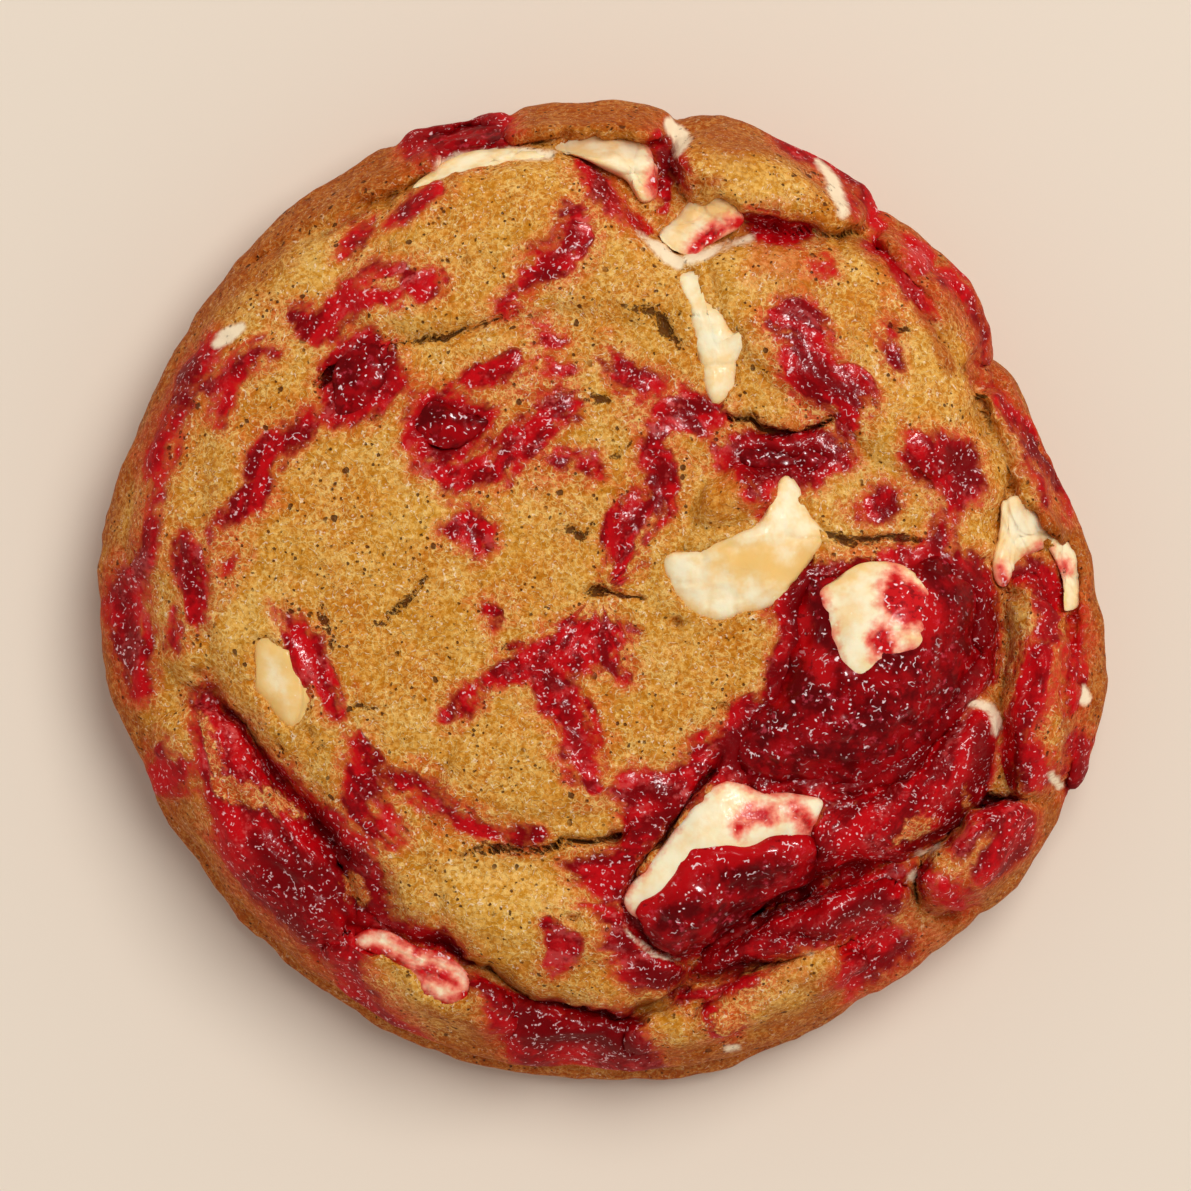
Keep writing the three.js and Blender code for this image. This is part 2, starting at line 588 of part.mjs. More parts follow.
/** A solid as a geometry. */
function geometryOf(solid) {
  const mesh = solid.getMesh();
  return new THREE.BufferGeometry()
    .setAttribute("position", new THREE.BufferAttribute(new Float32Array(mesh.vertProperties), 3))
    .setIndex(new THREE.BufferAttribute(new Uint32Array(mesh.triVerts), 1));
}

/** A named mesh in one plain colour. */
function namedMesh(name, solid, colour, roughness) {
  const material = new THREE.MeshStandardMaterial({ color: colour, roughness, metalness: 0 });
  const mesh = new THREE.Mesh(geometryOf(solid), material);
  mesh.name = name;
  return mesh;
}

const cookie = new THREE.Group();
let dough = solidOf(doughGeometry());
const pockets = [];
for (const [name, piece] of Object.entries(PIECES)) {
  let solid = solidOf(pieceGeometry(piece, 0));
  for (const pocket of pockets) solid = solid.subtract(pocket);
  pockets.push(solidOf(pieceGeometry(piece, CLEARANCE)));
  cookie.add(namedMesh(name, largestBody(solid), piece.colour, piece.roughness));
}
for (const pocket of pockets) dough = dough.subtract(pocket);
for (const crack of CRACKS) dough = dough.subtract(solidOf(wedgeGeometry(crack)));
cookie.add(namedMesh("cookie_dough", largestBody(dough), DOUGH_COLOUR, DOUGH_ROUGHNESS));

export default cookie;
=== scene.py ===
"""A thick soft-baked cookie with raspberry and white chocolate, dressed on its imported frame.

Every surface is worked out with numpy as a function of two parameters on a grid, in millimetres,
and is turned into metres when its mesh is made. From above, +X is right and +Y is away.
"""

from __future__ import annotations

import itertools
import logging
import math
from dataclasses import dataclass, field
from enum import Enum

import bpy
import numpy as np
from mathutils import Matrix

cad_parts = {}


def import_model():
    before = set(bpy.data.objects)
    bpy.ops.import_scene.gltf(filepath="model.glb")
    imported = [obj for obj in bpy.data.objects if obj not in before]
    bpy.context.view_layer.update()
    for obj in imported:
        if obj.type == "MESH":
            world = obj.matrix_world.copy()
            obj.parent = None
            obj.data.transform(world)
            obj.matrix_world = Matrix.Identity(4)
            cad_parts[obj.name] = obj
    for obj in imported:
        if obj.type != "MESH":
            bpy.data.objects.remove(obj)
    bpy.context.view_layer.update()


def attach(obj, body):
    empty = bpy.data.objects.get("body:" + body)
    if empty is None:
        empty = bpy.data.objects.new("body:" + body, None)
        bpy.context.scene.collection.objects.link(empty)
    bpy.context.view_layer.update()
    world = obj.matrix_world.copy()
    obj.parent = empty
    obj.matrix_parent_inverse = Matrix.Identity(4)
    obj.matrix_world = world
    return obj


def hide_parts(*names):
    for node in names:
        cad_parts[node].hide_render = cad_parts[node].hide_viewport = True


Array = np.ndarray
Points = tuple[tuple[float, ...], ...]
log = logging.getLogger("cookie")

METRES = 0.001


# ------------------------------------------------------------------ plain mathematics
def smooth_step(low: float, high: float, value: Array) -> Array:
    """Rise smoothly from 0 at low to 1 at high: 3t^2 - 2t^3 of the share t between them.

    Args:
        low: Where the step starts.
        high: Where it ends.
        value: The numbers to step.

    Returns:
        The stepped numbers, from 0 to 1.
    """
    share = np.clip((value - low) / (high - low), 0.0, 1.0)
    return share * share * (3.0 - 2.0 * share)


def smooth_path(points: Points, closed: bool, steps: int = 4) -> Array:
    """Run a centripetal Catmull-Rom curve through a few points.

    Each span between two points is the cubic whose knots are spaced by the square roots of the
    distances in plan between the points round it.

    Args:
        points: Rows of x, y and any further numbers, which are carried along.
        closed: Whether the last point joins the first.
        steps: Samples in each span.

    Returns:
        The samples, one row each. An open path keeps its last point.
    """
    rows = np.asarray(points, dtype=float)
    if closed:
        knots = np.vstack([rows[-1], rows, rows[0], rows[1]])
    else:
        knots = np.vstack([2 * rows[0] - rows[1], rows, 2 * rows[-1] - rows[-2]])
    gaps = np.maximum(np.hypot(*np.diff(knots[:, :2], axis=0).T), 1e-6) ** 0.5
    before, here, after = gaps[:-2, None], gaps[1:-1, None], gaps[2:, None]
    p0, p1, p2, p3 = knots[:-3], knots[1:-2], knots[2:-1], knots[3:]
    start = (p1 - p0) / before - (p2 - p0) / (before + here) + (p2 - p1) / here
    end = (p2 - p1) / here - (p3 - p1) / (here + after) + (p3 - p2) / after
    start, end = start * here, end * here
    t = (np.arange(steps) / steps)[None, :, None]
    spans = (
        (2 * t**3 - 3 * t**2 + 1) * p1[:, None]
        + (t**3 - 2 * t**2 + t) * start[:, None]
        + (3 * t**2 - 2 * t**3) * p2[:, None]
        + (t**3 - t**2) * end[:, None]
    )
    path = spans.reshape(-1, rows.shape[1])
    return path if closed else np.vstack([path, rows[-1]])


def bearing_gap(bearing: Array, centre: float) -> Array:
    """Signed difference of two bearings, in degrees from -180 to 180."""
    return (bearing - centre + 540.0) % 360.0 - 180.0


class Lattice:
    """Smooth noise: random values on a cubic lattice, blended with quintic steps between them."""

    CELLS = 64
    OFFSET = 17.31
    LAYER_SHIFT = 9.7

    def __init__(self, seed: int) -> None:
        """Fill the lattice from one seed."""
        self.table = np.random.default_rng(seed).uniform(-1.0, 1.0, (self.CELLS,) * 3)

    def at(self, place: Array, wavelength: float) -> Array:
        """Noise from -1 to 1 at places in millimetres.

        Args:
            place: Rows of x, y, z.
            wavelength: Length of a lattice cell.

        Returns:
            One number for each row.
        """
        scaled = place / wavelength + self.OFFSET
        base = np.floor(scaled).astype(int)
        part = scaled - base
        part = part**3 * (part * (part * 6.0 - 15.0) + 10.0)
        total = np.zeros(len(place))
        for corner in itertools.product((0, 1), repeat=3):
            weight = np.prod(np.where(corner, part, 1.0 - part), axis=1)
            index = (base + np.array(corner)) % self.CELLS
            total += weight * self.table[index[:, 0], index[:, 1], index[:, 2]]
        return total

    def layered(self, place: Array, wavelength: float, layers: int) -> Array:
        """Sum layers of noise, each at half the wavelength and half the strength of the last."""
        return sum(
            0.5**k * self.at(place + self.LAYER_SHIFT * k, wavelength * 0.5**k) for k in range(layers)
        )


# ------------------------------------------------------------------ marks in plan
@dataclass(frozen=True)
class Mark:
    """A mark on the cookie seen from above: a stroke with a half width at each point, or a patch.

    A stroke lists x, y and half width. A patch lists the x and y of its closed outline.
    """

    points: Points
    closed: bool = False

    FRAY = 0.75
    STREAK = (3.4, 0.9, 1.0)
    OWN_SHIFT = 7.0

    def inward(self, plan: Array, reach: float = 6.0, streaks: Lattice | None = None) -> Array:
        """Distance in from the mark's edge, positive inside it and negative outside.

        For a stroke it is the greatest of half width less distance to each stretch of its path.
        For a patch it is the distance to the nearest side, with its sign by the even-odd rule.

        Args:
            plan: Rows of x, y.
            reach: How far outside the mark the distance is worked out. Beyond it is -reach.
            streaks: Noise that frays a stroke's edges into streaks that run along it.

        Returns:
            One distance for each row.
        """
        path = smooth_path(self.points, self.closed)
        widest = 0.0 if self.closed else path[:, 2].max()
        low = path[:, :2].min(axis=0) - reach - widest
        high = path[:, :2].max(axis=0) + reach + widest
        near = np.all((plan > low) & (plan < high), axis=1)
        result = np.full(len(plan), -reach)
        result[near], followed = self._field(path, plan[near])
        if streaks is not None and not self.closed:
            result[near] += self.FRAY * streaks.at(followed / np.array(self.STREAK), 1.0)
        return np.maximum(result, -reach)

    def _field(self, path: Array, plan: Array) -> tuple[Array, Array]:
        """Work the distance out for the rows that lie near the mark.

        Args:
            path: The mark's samples.
            plan: Rows of x, y.

        Returns:
            The distance inward, and rows of the way along the path, the way across it and a
            number of the mark's own.
        """
        ends = np.roll(path, -1, axis=0) if self.closed else path[1:]
        starts = path if self.closed else path[:-1]
        best = np.full(len(plan), np.inf if self.closed else -np.inf)
        inside = np.zeros(len(plan), dtype=bool)
        own = path[0, 0] + self.OWN_SHIFT * path[0, 1]
        followed = np.column_stack([np.zeros((len(plan), 2)), np.full(len(plan), own)])
        travelled = 0.0
        x, y = plan.T
        for a, b in zip(starts, ends):
            dx, dy = b[:2] - a[:2]
            share = np.clip(((x - a[0]) * dx + (y - a[1]) * dy) / (dx * dx + dy * dy), 0.0, 1.0)
            distance = np.hypot(x - a[0] - share * dx, y - a[1] - share * dy)
            if not self.closed:
                depth = a[2] + share * (b[2] - a[2]) - distance
                nearer = depth > best
                side = np.sign(dx * (y - a[1]) - dy * (x - a[0]))
                length = math.hypot(dx, dy)
                best = np.where(nearer, depth, best)
                followed[nearer, 0] = travelled + (share * length)[nearer]
                followed[nearer, 1] = (side * distance)[nearer]
                travelled += length
                continue
            best = np.minimum(best, distance)
            if a[1] != b[1]:
                crosses = ((a[1] > y) != (b[1] > y)) & (x < dx * (y - a[1]) / dy + a[0])
                inside ^= crosses
        return (np.where(inside, best, -best) if self.closed else best), followed


def strokes(*lists: Points) -> tuple[Mark, ...]:
    """Make a stroke of each list of points."""
    return tuple(Mark(points) for points in lists)


def patches(*lists: Points) -> tuple[Mark, ...]:
    """Make a closed patch of each list of points."""
    return tuple(Mark(points, closed=True) for points in lists)


def deepest(
    marks: tuple[Mark, ...], plan: Array, reach: float = 6.0, streaks: Lattice | None = None
) -> Array:
    """Greatest inward distance over several marks, with their strokes frayed by any streaks."""
    return np.max([mark.inward(plan, reach, streaks) for mark in marks], axis=0)


# ------------------------------------------------------------------ the cookie's form
@dataclass(frozen=True)
class Lobe:
    """A lobe of dough: its mark in plan, its rise over the dome and the width of its rolled edge."""

    rise: float
    roll: float
    mark: Mark

    def height(self, plan: Array) -> Array:
        """Height over the dome: a quarter circle over the rolled edge, then level."""
        inward = np.clip(self.mark.inward(plan, 1.0) / self.roll, 0.0, 1.0)
        return self.rise * np.sqrt(1.0 - (1.0 - inward) ** 2)


def lobe_along(rise: float, roll: float, *points: tuple[float, float, float]) -> Lobe:
    """Make a lobe of a rise and a rolled edge along a stroke."""
    return Lobe(rise, roll, Mark(points))


@dataclass(frozen=True)
class Groove:
    """A crack or crease: its stroke in plan, its depth and where its side starts and ends."""

    depth: float
    mark: Mark
    side: tuple[float, float] = (-0.1, 0.4)

    def cut(self, plan: Array) -> Array:
        """Depth of the groove at places in plan, down to the whole depth past the end of its side."""
        return self.depth * smooth_step(*self.side, self.mark.inward(plan, 1.0))


def crack(depth: float, *points: tuple[float, float, float]) -> Groove:
    """Make a crack: a groove with steep sides."""
    return Groove(depth, Mark(points))


def crease(depth: float, *points: tuple[float, float, float]) -> Groove:
    """Make a crease between two folds: a groove with soft slanting sides."""
    return Groove(depth, Mark(points), side=(0.0, 1.3))


CAP_OUTLINE = (
    (-41, 6), (-40.2, -5), (-35.5, -13.5), (-29, -21), (-24.5, -29), (-20.5, -33.8), (-13, -36.6),
    (-7, -40.6), (1, -41.6), (8, -39.5), (12, -33), (20, -29.3), (30, -26.3), (37.5, -21),
    (38.8, -10), (39, 3), (40.2, 11), (37, 20), (31, 30), (25, 35.2), (16, 36), (8, 33.5),
    (4.4, 36.5), (-1, 41.9), (-10, 43.7), (-20, 39.5), (-31, 35.2), (-38, 27.5), (-42, 16),
)

LOBES = {
    "cap": Lobe(4.2, 4.5, Mark(CAP_OUTLINE, closed=True)),
    "left shoulder": lobe_along(3.4, 7, (-40, -6, 4), (-39, 6, 8), (-38, 19, 8), (-36, 28, 5)),
    "plateau": lobe_along(5.6, 4, (-23, 29.5, 5), (-15, 33, 8.5), (-5, 33.8, 8), (3, 29.5, 5)),
    "right mass": lobe_along(5.8, 4, (13.5, 31, 3.5), (20, 27, 8.5), (28, 22, 9), (33.5, 14.5, 5)),
    "bun": lobe_along(6, 3.5, (10, 42.4, 3.2), (14.5, 41.8, 4.6), (20, 39.6, 3.8), (24.5, 37.4, 1.8)),
    "far lobe": lobe_along(4, 1.7, (-8, 46, 1.4), (-1, 46.9, 1.8), (5.5, 46.4, 1.5)),
    "centre mound": lobe_along(5.4, 3.5, (9.5, 2.6, 3.4), (14, 4, 6.2), (18, 7, 4)),
    "knob": lobe_along(7.8, 3.6, (12, 8.4, 3.3), (14.6, 9, 3.6)),
    "jam mound": lobe_along(
        6.8, 6.5, (15.5, -16.6, 2.8), (22, -12.5, 6.4), (28.5, -8, 8.4), (31, -3, 6.6), (34, 0.6, 3),
    ),
    "shelf": lobe_along(5.4, 5, (-16, -21, 4), (-8, -17.5, 7), (-1.5, -19, 5)),
    "near lobe": lobe_along(5.6, 5, (-14, -31, 4.4), (-7, -33, 6.4), (-1, -34, 5)),
    "band": lobe_along(5.4, 2.6, (21, -24.4, 3), (28, -22.4, 3.2), (34, -19, 3.2), (37, -14, 2.2)),
    "corner lobe": lobe_along(5.6, 3.2, (34, -29.2, 2.8), (38, -27.4, 4.6), (42.4, -24, 3.2)),
    "jam fold": lobe_along(
        4, 2.5, (10, -36.8, 1.2), (16, -34.3, 2.5), (22, -32.8, 2.7), (28.5, -30.8, 2),
    ),
    "golden lobe": lobe_along(
        3.6, 2.6, (10.5, -43.6, 2), (15, -41.4, 3), (20, -38.8, 3.2), (25, -37, 1.6),
    ),
    "low lobe": lobe_along(2.6, 2, (4.5, -44.4, 1.8), (8, -44, 2.4)),
    "low left lobe": lobe_along(3.2, 3, (-25.5, -36.6, 2.4), (-18.5, -40.2, 4.4), (-12, -43, 3)),
    "left flank": lobe_along(2.6, 4, (-41, -15, 3.4), (-36, -23, 5.4), (-30, -31, 5.2)),
    "right ring": lobe_along(
        4.6, 3, (42.4, -1.4, 2), (43.8, -8, 3.6), (43.4, -15, 3.4), (42.8, -19, 2),
    ),
    "far right ring": lobe_along(4, 2.4, (39.8, 18.6, 1.6), (42.6, 11.6, 2.6), (44.8, 5.4, 2)),
    "upper right ring": lobe_along(4, 1.8, (28.5, 35, 1.2), (32.8, 30.4, 1.8), (36.6, 24, 1.6)),
    "upper left ring": lobe_along(
        3, 1.8, (-36, 33, 1), (-29, 37.6, 1.7), (-22, 40.9, 1.7), (-17.5, 43.2, 1),
    ),
}

GROOVES = (
    crack(2.6, (12, 17.4, 0.3), (15, 16.5, 0.6), (17, 15.3, 0.7), (19, 15.5, 0.5), (22.6, 16.2, 0.3)),
    crack(1.2, (-23, -3.6, 0.1), (-20.8, -1.5, 0.28), (-19.3, -0.1, 0.3), (-17.3, 1.5, 0.15)),
    crack(1, (-28.2, -0.8, 0.15), (-27.6, -3.3, 0.3), (-27.1, -4.6, 0.25), (-27.2, -6.9, 0.15)),
    crack(1.8, (-2.6, -0.2, 0.2), (-0.8, 0.3, 0.6), (0.8, -0.2, 0.3), (3.4, -0.2, 0.3)),
    crack(1, (-4.8, 6.4, 0.15), (-3.5, 6.3, 0.3), (-1.7, 5.7, 0.25), (-0.6, 7, 0.1)),
    crack(1.6, (21.5, 5.8, 0.2), (24, 4.9, 0.4), (26.5, 4.8, 0.4), (28.5, 5.3, 0.4), (31.6, 4.8, 0.2)),
    crack(3.4, (37.6, -21.7, 0.5), (39.2, -21.2, 0.9), (41.2, -21.3, 0.5)),
    crack(2.4, (-28.2, 20.6, 0.3), (-27.2, 22, 0.6), (-26, 23.4, 0.3), (-22.7, 23.9, 0.2)),
    crack(1.8, (-22.7, 23.9, 0.2), (-18.3, 24.9, 0.4), (-14, 25.6, 0.4), (-8.5, 28.2, 0.15)),
    crack(
        2, (-14.4, -26.4, 0.1), (-10.6, -25.4, 0.3), (-7, -25.8, 0.35), (-3.6, -25.1, 0.35),
        (1.2, -23.8, 0.4),
    ),
    crack(0.8, (-21.3, -6.5, 0.1), (-20.5, -5.9, 0.25), (-19.8, -5.5, 0.1)),
    crack(0.8, (-25.4, -11.7, 0.1), (-23.2, -12.2, 0.25), (-21.3, -12.4, 0.1)),
    crack(1.2, (1.8, 27.7, 0.1), (3.9, 27.2, 0.35), (6, 26.6, 0.4), (8, 24.3, 0.2)),
    crack(0.8, (-1.2, 18.9, 0.1), (0.3, 18.6, 0.25), (2.4, 18.4, 0.1)),
    crack(0.8, (0.5, 13, 0.1), (2, 13.7, 0.25), (3.2, 14.6, 0.1)),
    crack(0.9, (27.8, 26.3, 0.1), (29.3, 25.9, 0.3), (30.5, 25.5, 0.1)),
    crack(0.9, (-11.6, -15, 0.1), (-10.3, -15.6, 0.25), (-9, -16.2, 0.1)),
    crack(
        2.4, (11.4, -17.8, 0.5), (9.2, -20.3, 0.5), (6.6, -23.2, 0.5), (4.4, -26.2, 0.5),
        (2.4, -29.4, 0.3),
    ),
)

CREASES = (
    crease(
        2.6, (2.2, -31.4, 0.7), (4.6, -34.8, 1), (7.4, -36.6, 1.4), (11, -35.8, 1.8), (15, -32.4, 2),
        (19, -30, 1.8),
    ),
    crease(
        2, (19, -30, 1.8), (23, -28.6, 1.3), (27, -27, 1.2), (31, -25.4, 1.1), (34, -23.4, 1),
        (37, -21.6, 0.9),
    ),
    crease(1.6, (15, -33.6, 0.9), (19, -34.2, 1.1), (23.5, -34.2, 1), (28, -33.2, 0.7)),
    crease(2, (7, -39, 1.2), (9.6, -38, 1.4), (13, -37.6, 1.1), (17.6, -36.8, 1), (20.4, -35.4, 0.7)),
    crease(
        2, (37, -22, 0.8), (34.6, -24.4, 1), (32, -27.2, 1), (31, -29.6, 1.2), (33, -31.2, 1),
        (34.8, -33, 0.8),
    ),
    crease(
        1.3, (-40.6, -8, 0.7), (-36.2, -13.2, 1.1), (-33.4, -17.2, 1.2), (-28.6, -22.2, 1.2),
        (-25, -25.6, 1.3),
    ),
    crease(
        1.5, (-25, -25.6, 1.3), (-22.6, -28.6, 1.5), (-20.4, -32.4, 1.5), (-16.4, -35.2, 1.3),
        (-11, -37.8, 1.3),
    ),
    crease(2.2, (-11, -37.8, 1.3), (-7, -40.6, 1.5), (-1, -42, 1.6), (5, -41.6, 1.3), (8, -39.6, 1)),
    crease(
        1.6, (39.2, -6, 0.8), (38, -9.8, 1.1), (35.6, -12.4, 1), (33.4, -15.6, 0.9), (30, -18.8, 0.8),
        (23, -20.2, 0.7),
    ),
    crease(1.3, (39.6, 0.6, 0.9), (40.2, -4, 1), (40.3, -8.4, 1), (39.6, -12, 0.8)),
    crease(
        1.6, (44.6, 8.6, 0.8), (46.8, 3, 0.9), (47.2, -2.4, 1), (46.6, -6.4, 1), (46.3, -11, 1),
        (46, -18.6, 1),
    ),
    crease(1.4, (10.6, 39.8, 0.8), (14, 37.4, 0.9), (18, 36.2, 1), (22, 35.8, 0.9), (25, 35.2, 0.7)),
    crease(1.4, (25, 35.2, 0.8), (28, 32.6, 0.9), (31, 28.6, 1), (34, 24.4, 1), (36.4, 21.4, 0.8)),
    crease(1.4, (36.4, 21.4, 0.8), (39, 21.8, 0.9), (41, 18.6, 1), (43.6, 14, 0.9), (45.4, 9.6, 0.7)),
    crease(1.2, (-33, 33, 0.6), (-27, 36, 0.9), (-21, 39.4, 1), (-15, 42.4, 0.8)),
    crease(1.2, (-3.4, -24.8, 0.8), (1.4, -24, 1), (1.8, -22, 0.7)),
    crease(
        1.6, (11.8, -16.8, 0.8), (9.6, -19.6, 0.9), (5.8, -24.2, 0.9), (2.4, -28.8, 0.9),
        (2, -31.2, 0.8),
    ),
)

# Small holes: x, y, radius, depth.
PITS = (
    (-21.4, 34.2, 0.7, 1), (-13.4, 33.3, 0.6, 0.9), (-22.3, 16.9, 0.7, 1), (3.4, -0.2, 0.8, 1.4),
    (-29.1, -14.6, 0.6, 1), (-27.6, -15.4, 0.5, 0.9), (-31.7, -15.4, 0.6, 1), (11.6, -12, 0.9, 1.4),
    (0.8, -24, 1.2, 2.2), (-2.8, -32.9, 0.9, 1.4), (-9.2, -6.1, 0.6, 0.9), (6.9, -3, 0.9, 1.8),
)


@dataclass(frozen=True)
class CookieForm:
    """The dough's overall shape: a notched round outline, a dome and the lobes that stand on it."""

    mean_radius: float = 48.9
    equator: float = 9.0
    dome_top: float = 22.0
    flatness: float = 2.6
    notch_start: float = 0.8
    rim_fade: tuple[float, float] = (0.93, 0.995)
    foot_reach: float = 1.0
    foot_bearings: tuple[float, float] = (200.0, 300.0)
    foot_fade: float = 14.0
    swells: Points = (
        (183, 1.6, 18), (343, 2.8, 18), (322, 1.0, 8), (283, 0.38, 14), (20, -2.2, 16),
        (50, -1.1, 16), (120, 0.4, 15),
    )
    notches: Points = (
        (81, 1.5, 2.4), (30.5, 2.3, 3.2), (54, 1.0, 2.6), (101, 0.8, 2.4), (115, 0.6, 2.2),
        (336.5, 0.9, 2.6), (319.5, 0.7, 2.2),
    )
    wall: Points = (
        (9, 0, 1), (7, 0.3, 1.5), (4.6, 1, -1), (2.6, 1.7, -1.4), (0.9, 2.8, -1.4), (0, 4, -1.4),
    )

    def radius(self, bearing: Array) -> Array:
        """Radius of the outline at bearings in degrees: the mean radius plus a bell for each swell."""
        bells = [
            extra * np.exp(-((bearing_gap(bearing, at) / spread) ** 2))
            for at, extra, spread in self.swells
        ]
        return self.mean_radius + np.sum(bells, axis=0)

    def notch(self, bearing: Array) -> Array:
        """Depth of the notches in the outline: a sharp two-sided decay round each one."""
        cuts = [
            depth * np.exp(-np.abs(bearing_gap(bearing, at)) / spread)
            for at, depth, spread in self.notches
        ]
        return np.sum(cuts, axis=0)

    def foot(self, bearing: Array) -> Array:
        """How far the base layer stands out, from 0 to 1.

        Args:
            bearing: Bearings in degrees.

        Returns:
            One number for each bearing.
        """
        turn = bearing % 360.0
        low, high = self.foot_bearings
        rise = smooth_step(low - self.foot_fade, low + self.foot_fade, turn)
        return rise * (1.0 - smooth_step(high - self.foot_fade, high + self.foot_fade, turn))

    def dome(self, share: Array) -> Array:
        """Height of the dome at a share of the radius: a superellipse over the equator."""
        fall = np.maximum(0.0, 1.0 - share**self.flatness)
        return self.equator + (self.dome_top - self.equator) * np.sqrt(fall)

    def rise(self, plan: Array) -> Array:
        """Rise of the highest lobe over the dome."""
        return np.max([lobe.height(plan) for lobe in LOBES.values()], axis=0)

    def share(self, plan: Array) -> Array:
        """A place's share of the outline's radius."""
        bearing = np.degrees(np.arctan2(plan[:, 1], plan[:, 0]))
        return np.hypot(*plan.T) / self.radius(bearing)

    def height(self, plan: Array) -> Array:
        """Height of the dough at places in plan."""
        share = np.minimum(self.share(plan), 1.0)
        return self.dome(share) + self.rise(plan) * (1.0 - smooth_step(*self.rim_fade, share))

    def rest(self, plan: Array, spread: float) -> Array:
        """Height that an embedded piece rests at: the mean over a square that reaches a spread.

        Args:
            plan: Rows of x, y.
            spread: How far the square reaches to each side.

        Returns:
            One height for each row.
        """
        offsets = spread * np.array(list(itertools.product((-1.0, 0.0, 1.0), repeat=2)))
        around = (plan[:, None, :] + offsets[None]).reshape(-1, 2)
        return self.height(around).reshape(-1, len(offsets)).mean(axis=1)


# ------------------------------------------------------------------ meshes
@dataclass
class Shell:
    """A closed surface before it becomes a mesh: corners in millimetres, faces and attributes."""

    corners: Array
    faces: Array
    fields: dict[str, Array] = field(default_factory=dict)

    def normals(self) -> Array:
        """Unit normals at the corners, from the sum of the faces round each one.

        Returns:
            Rows of three numbers.
        """
        quads = self.corners[self.faces]
        across = np.cross(quads[:, 2] - quads[:, 0], quads[:, 3] - quads[:, 1])
        total = np.zeros_like(self.corners)
        for column in range(4):
            for axis in range(3):
                total[:, axis] += np.bincount(self.faces[:, column], across[:, axis], len(total))
        return total / np.maximum(np.linalg.norm(total, axis=1, keepdims=True), 1e-12)

    def make(self, name: str, material: bpy.types.Material) -> bpy.types.Object:
        """Make the mesh object, in metres, with its attributes and one material.

        A face that repeats a corner is a triangle at a pole, and it is written with three corners.

        Args:
            name: The object's name.
            material: Its finish.

        Returns:
            The object, linked to the scene.
        """
        mesh = bpy.data.meshes.new(name)
        single = self.faces[:, 2] == self.faces[:, 3]
        sizes = np.where(single, 3, 4)
        keep = np.ones(self.faces.shape, dtype=bool)
        keep[single, 3] = False
        loops = self.faces[keep]
        mesh.vertices.add(len(self.corners))
        mesh.vertices.foreach_set("co", (self.corners * METRES).ravel())
        mesh.loops.add(len(loops))
        mesh.loops.foreach_set("vertex_index", loops)
        mesh.polygons.add(len(sizes))
        mesh.polygons.foreach_set("loop_start", np.concatenate([[0], np.cumsum(sizes)[:-1]]))
        mesh.polygons.foreach_set("use_smooth", np.ones(len(sizes), dtype=bool))
        mesh.update(calc_edges=True)
        for label, values in self.fields.items():
            kind, key = ("FLOAT", "value") if values.ndim == 1 else ("FLOAT_VECTOR", "vector")
            layer = mesh.attributes.new(label, kind, "POINT")
            layer.data.foreach_set(key, values.astype(np.float32).ravel())
        mesh.validate()
        mesh.materials.append(material)
        piece = bpy.data.objects.new(name, mesh)
        bpy.context.scene.collection.objects.link(piece)
        return piece


def band_faces(rings: int, sides: int, first: int) -> Array:
    """Quads between rings of points that follow each other, each ring anticlockwise from above.

    Args:
        rings: Number of rings, from the highest to the lowest.
        sides: Points in a ring.
        first: Index of the first ring's first point.

    Returns:
        Rows of four indices, facing out.
    """
    i, j = np.meshgrid(np.arange(rings - 1), np.arange(sides), indexing="ij")
    above = first + i * sides + j
    above_next = first + i * sides + (j + 1) % sides
    return np.stack([above, above + sides, above_next + sides, above_next], axis=-1).reshape(-1, 4)


def fan_faces(pole: int, ring: Array, upward: bool) -> Array:
    """Triangles from a pole to a ring that runs anticlockwise from above, as quads that repeat a corner.

    Args:
        pole: Index of the pole.
        ring: Indices of the ring.
        upward: Whether they face up.

    Returns:
        Rows of four indices.
    """
    after = np.roll(ring, -1)
    first, second = (ring, after) if upward else (after, ring)
    return np.stack([np.full(len(ring), pole), first, second, second], axis=-1)


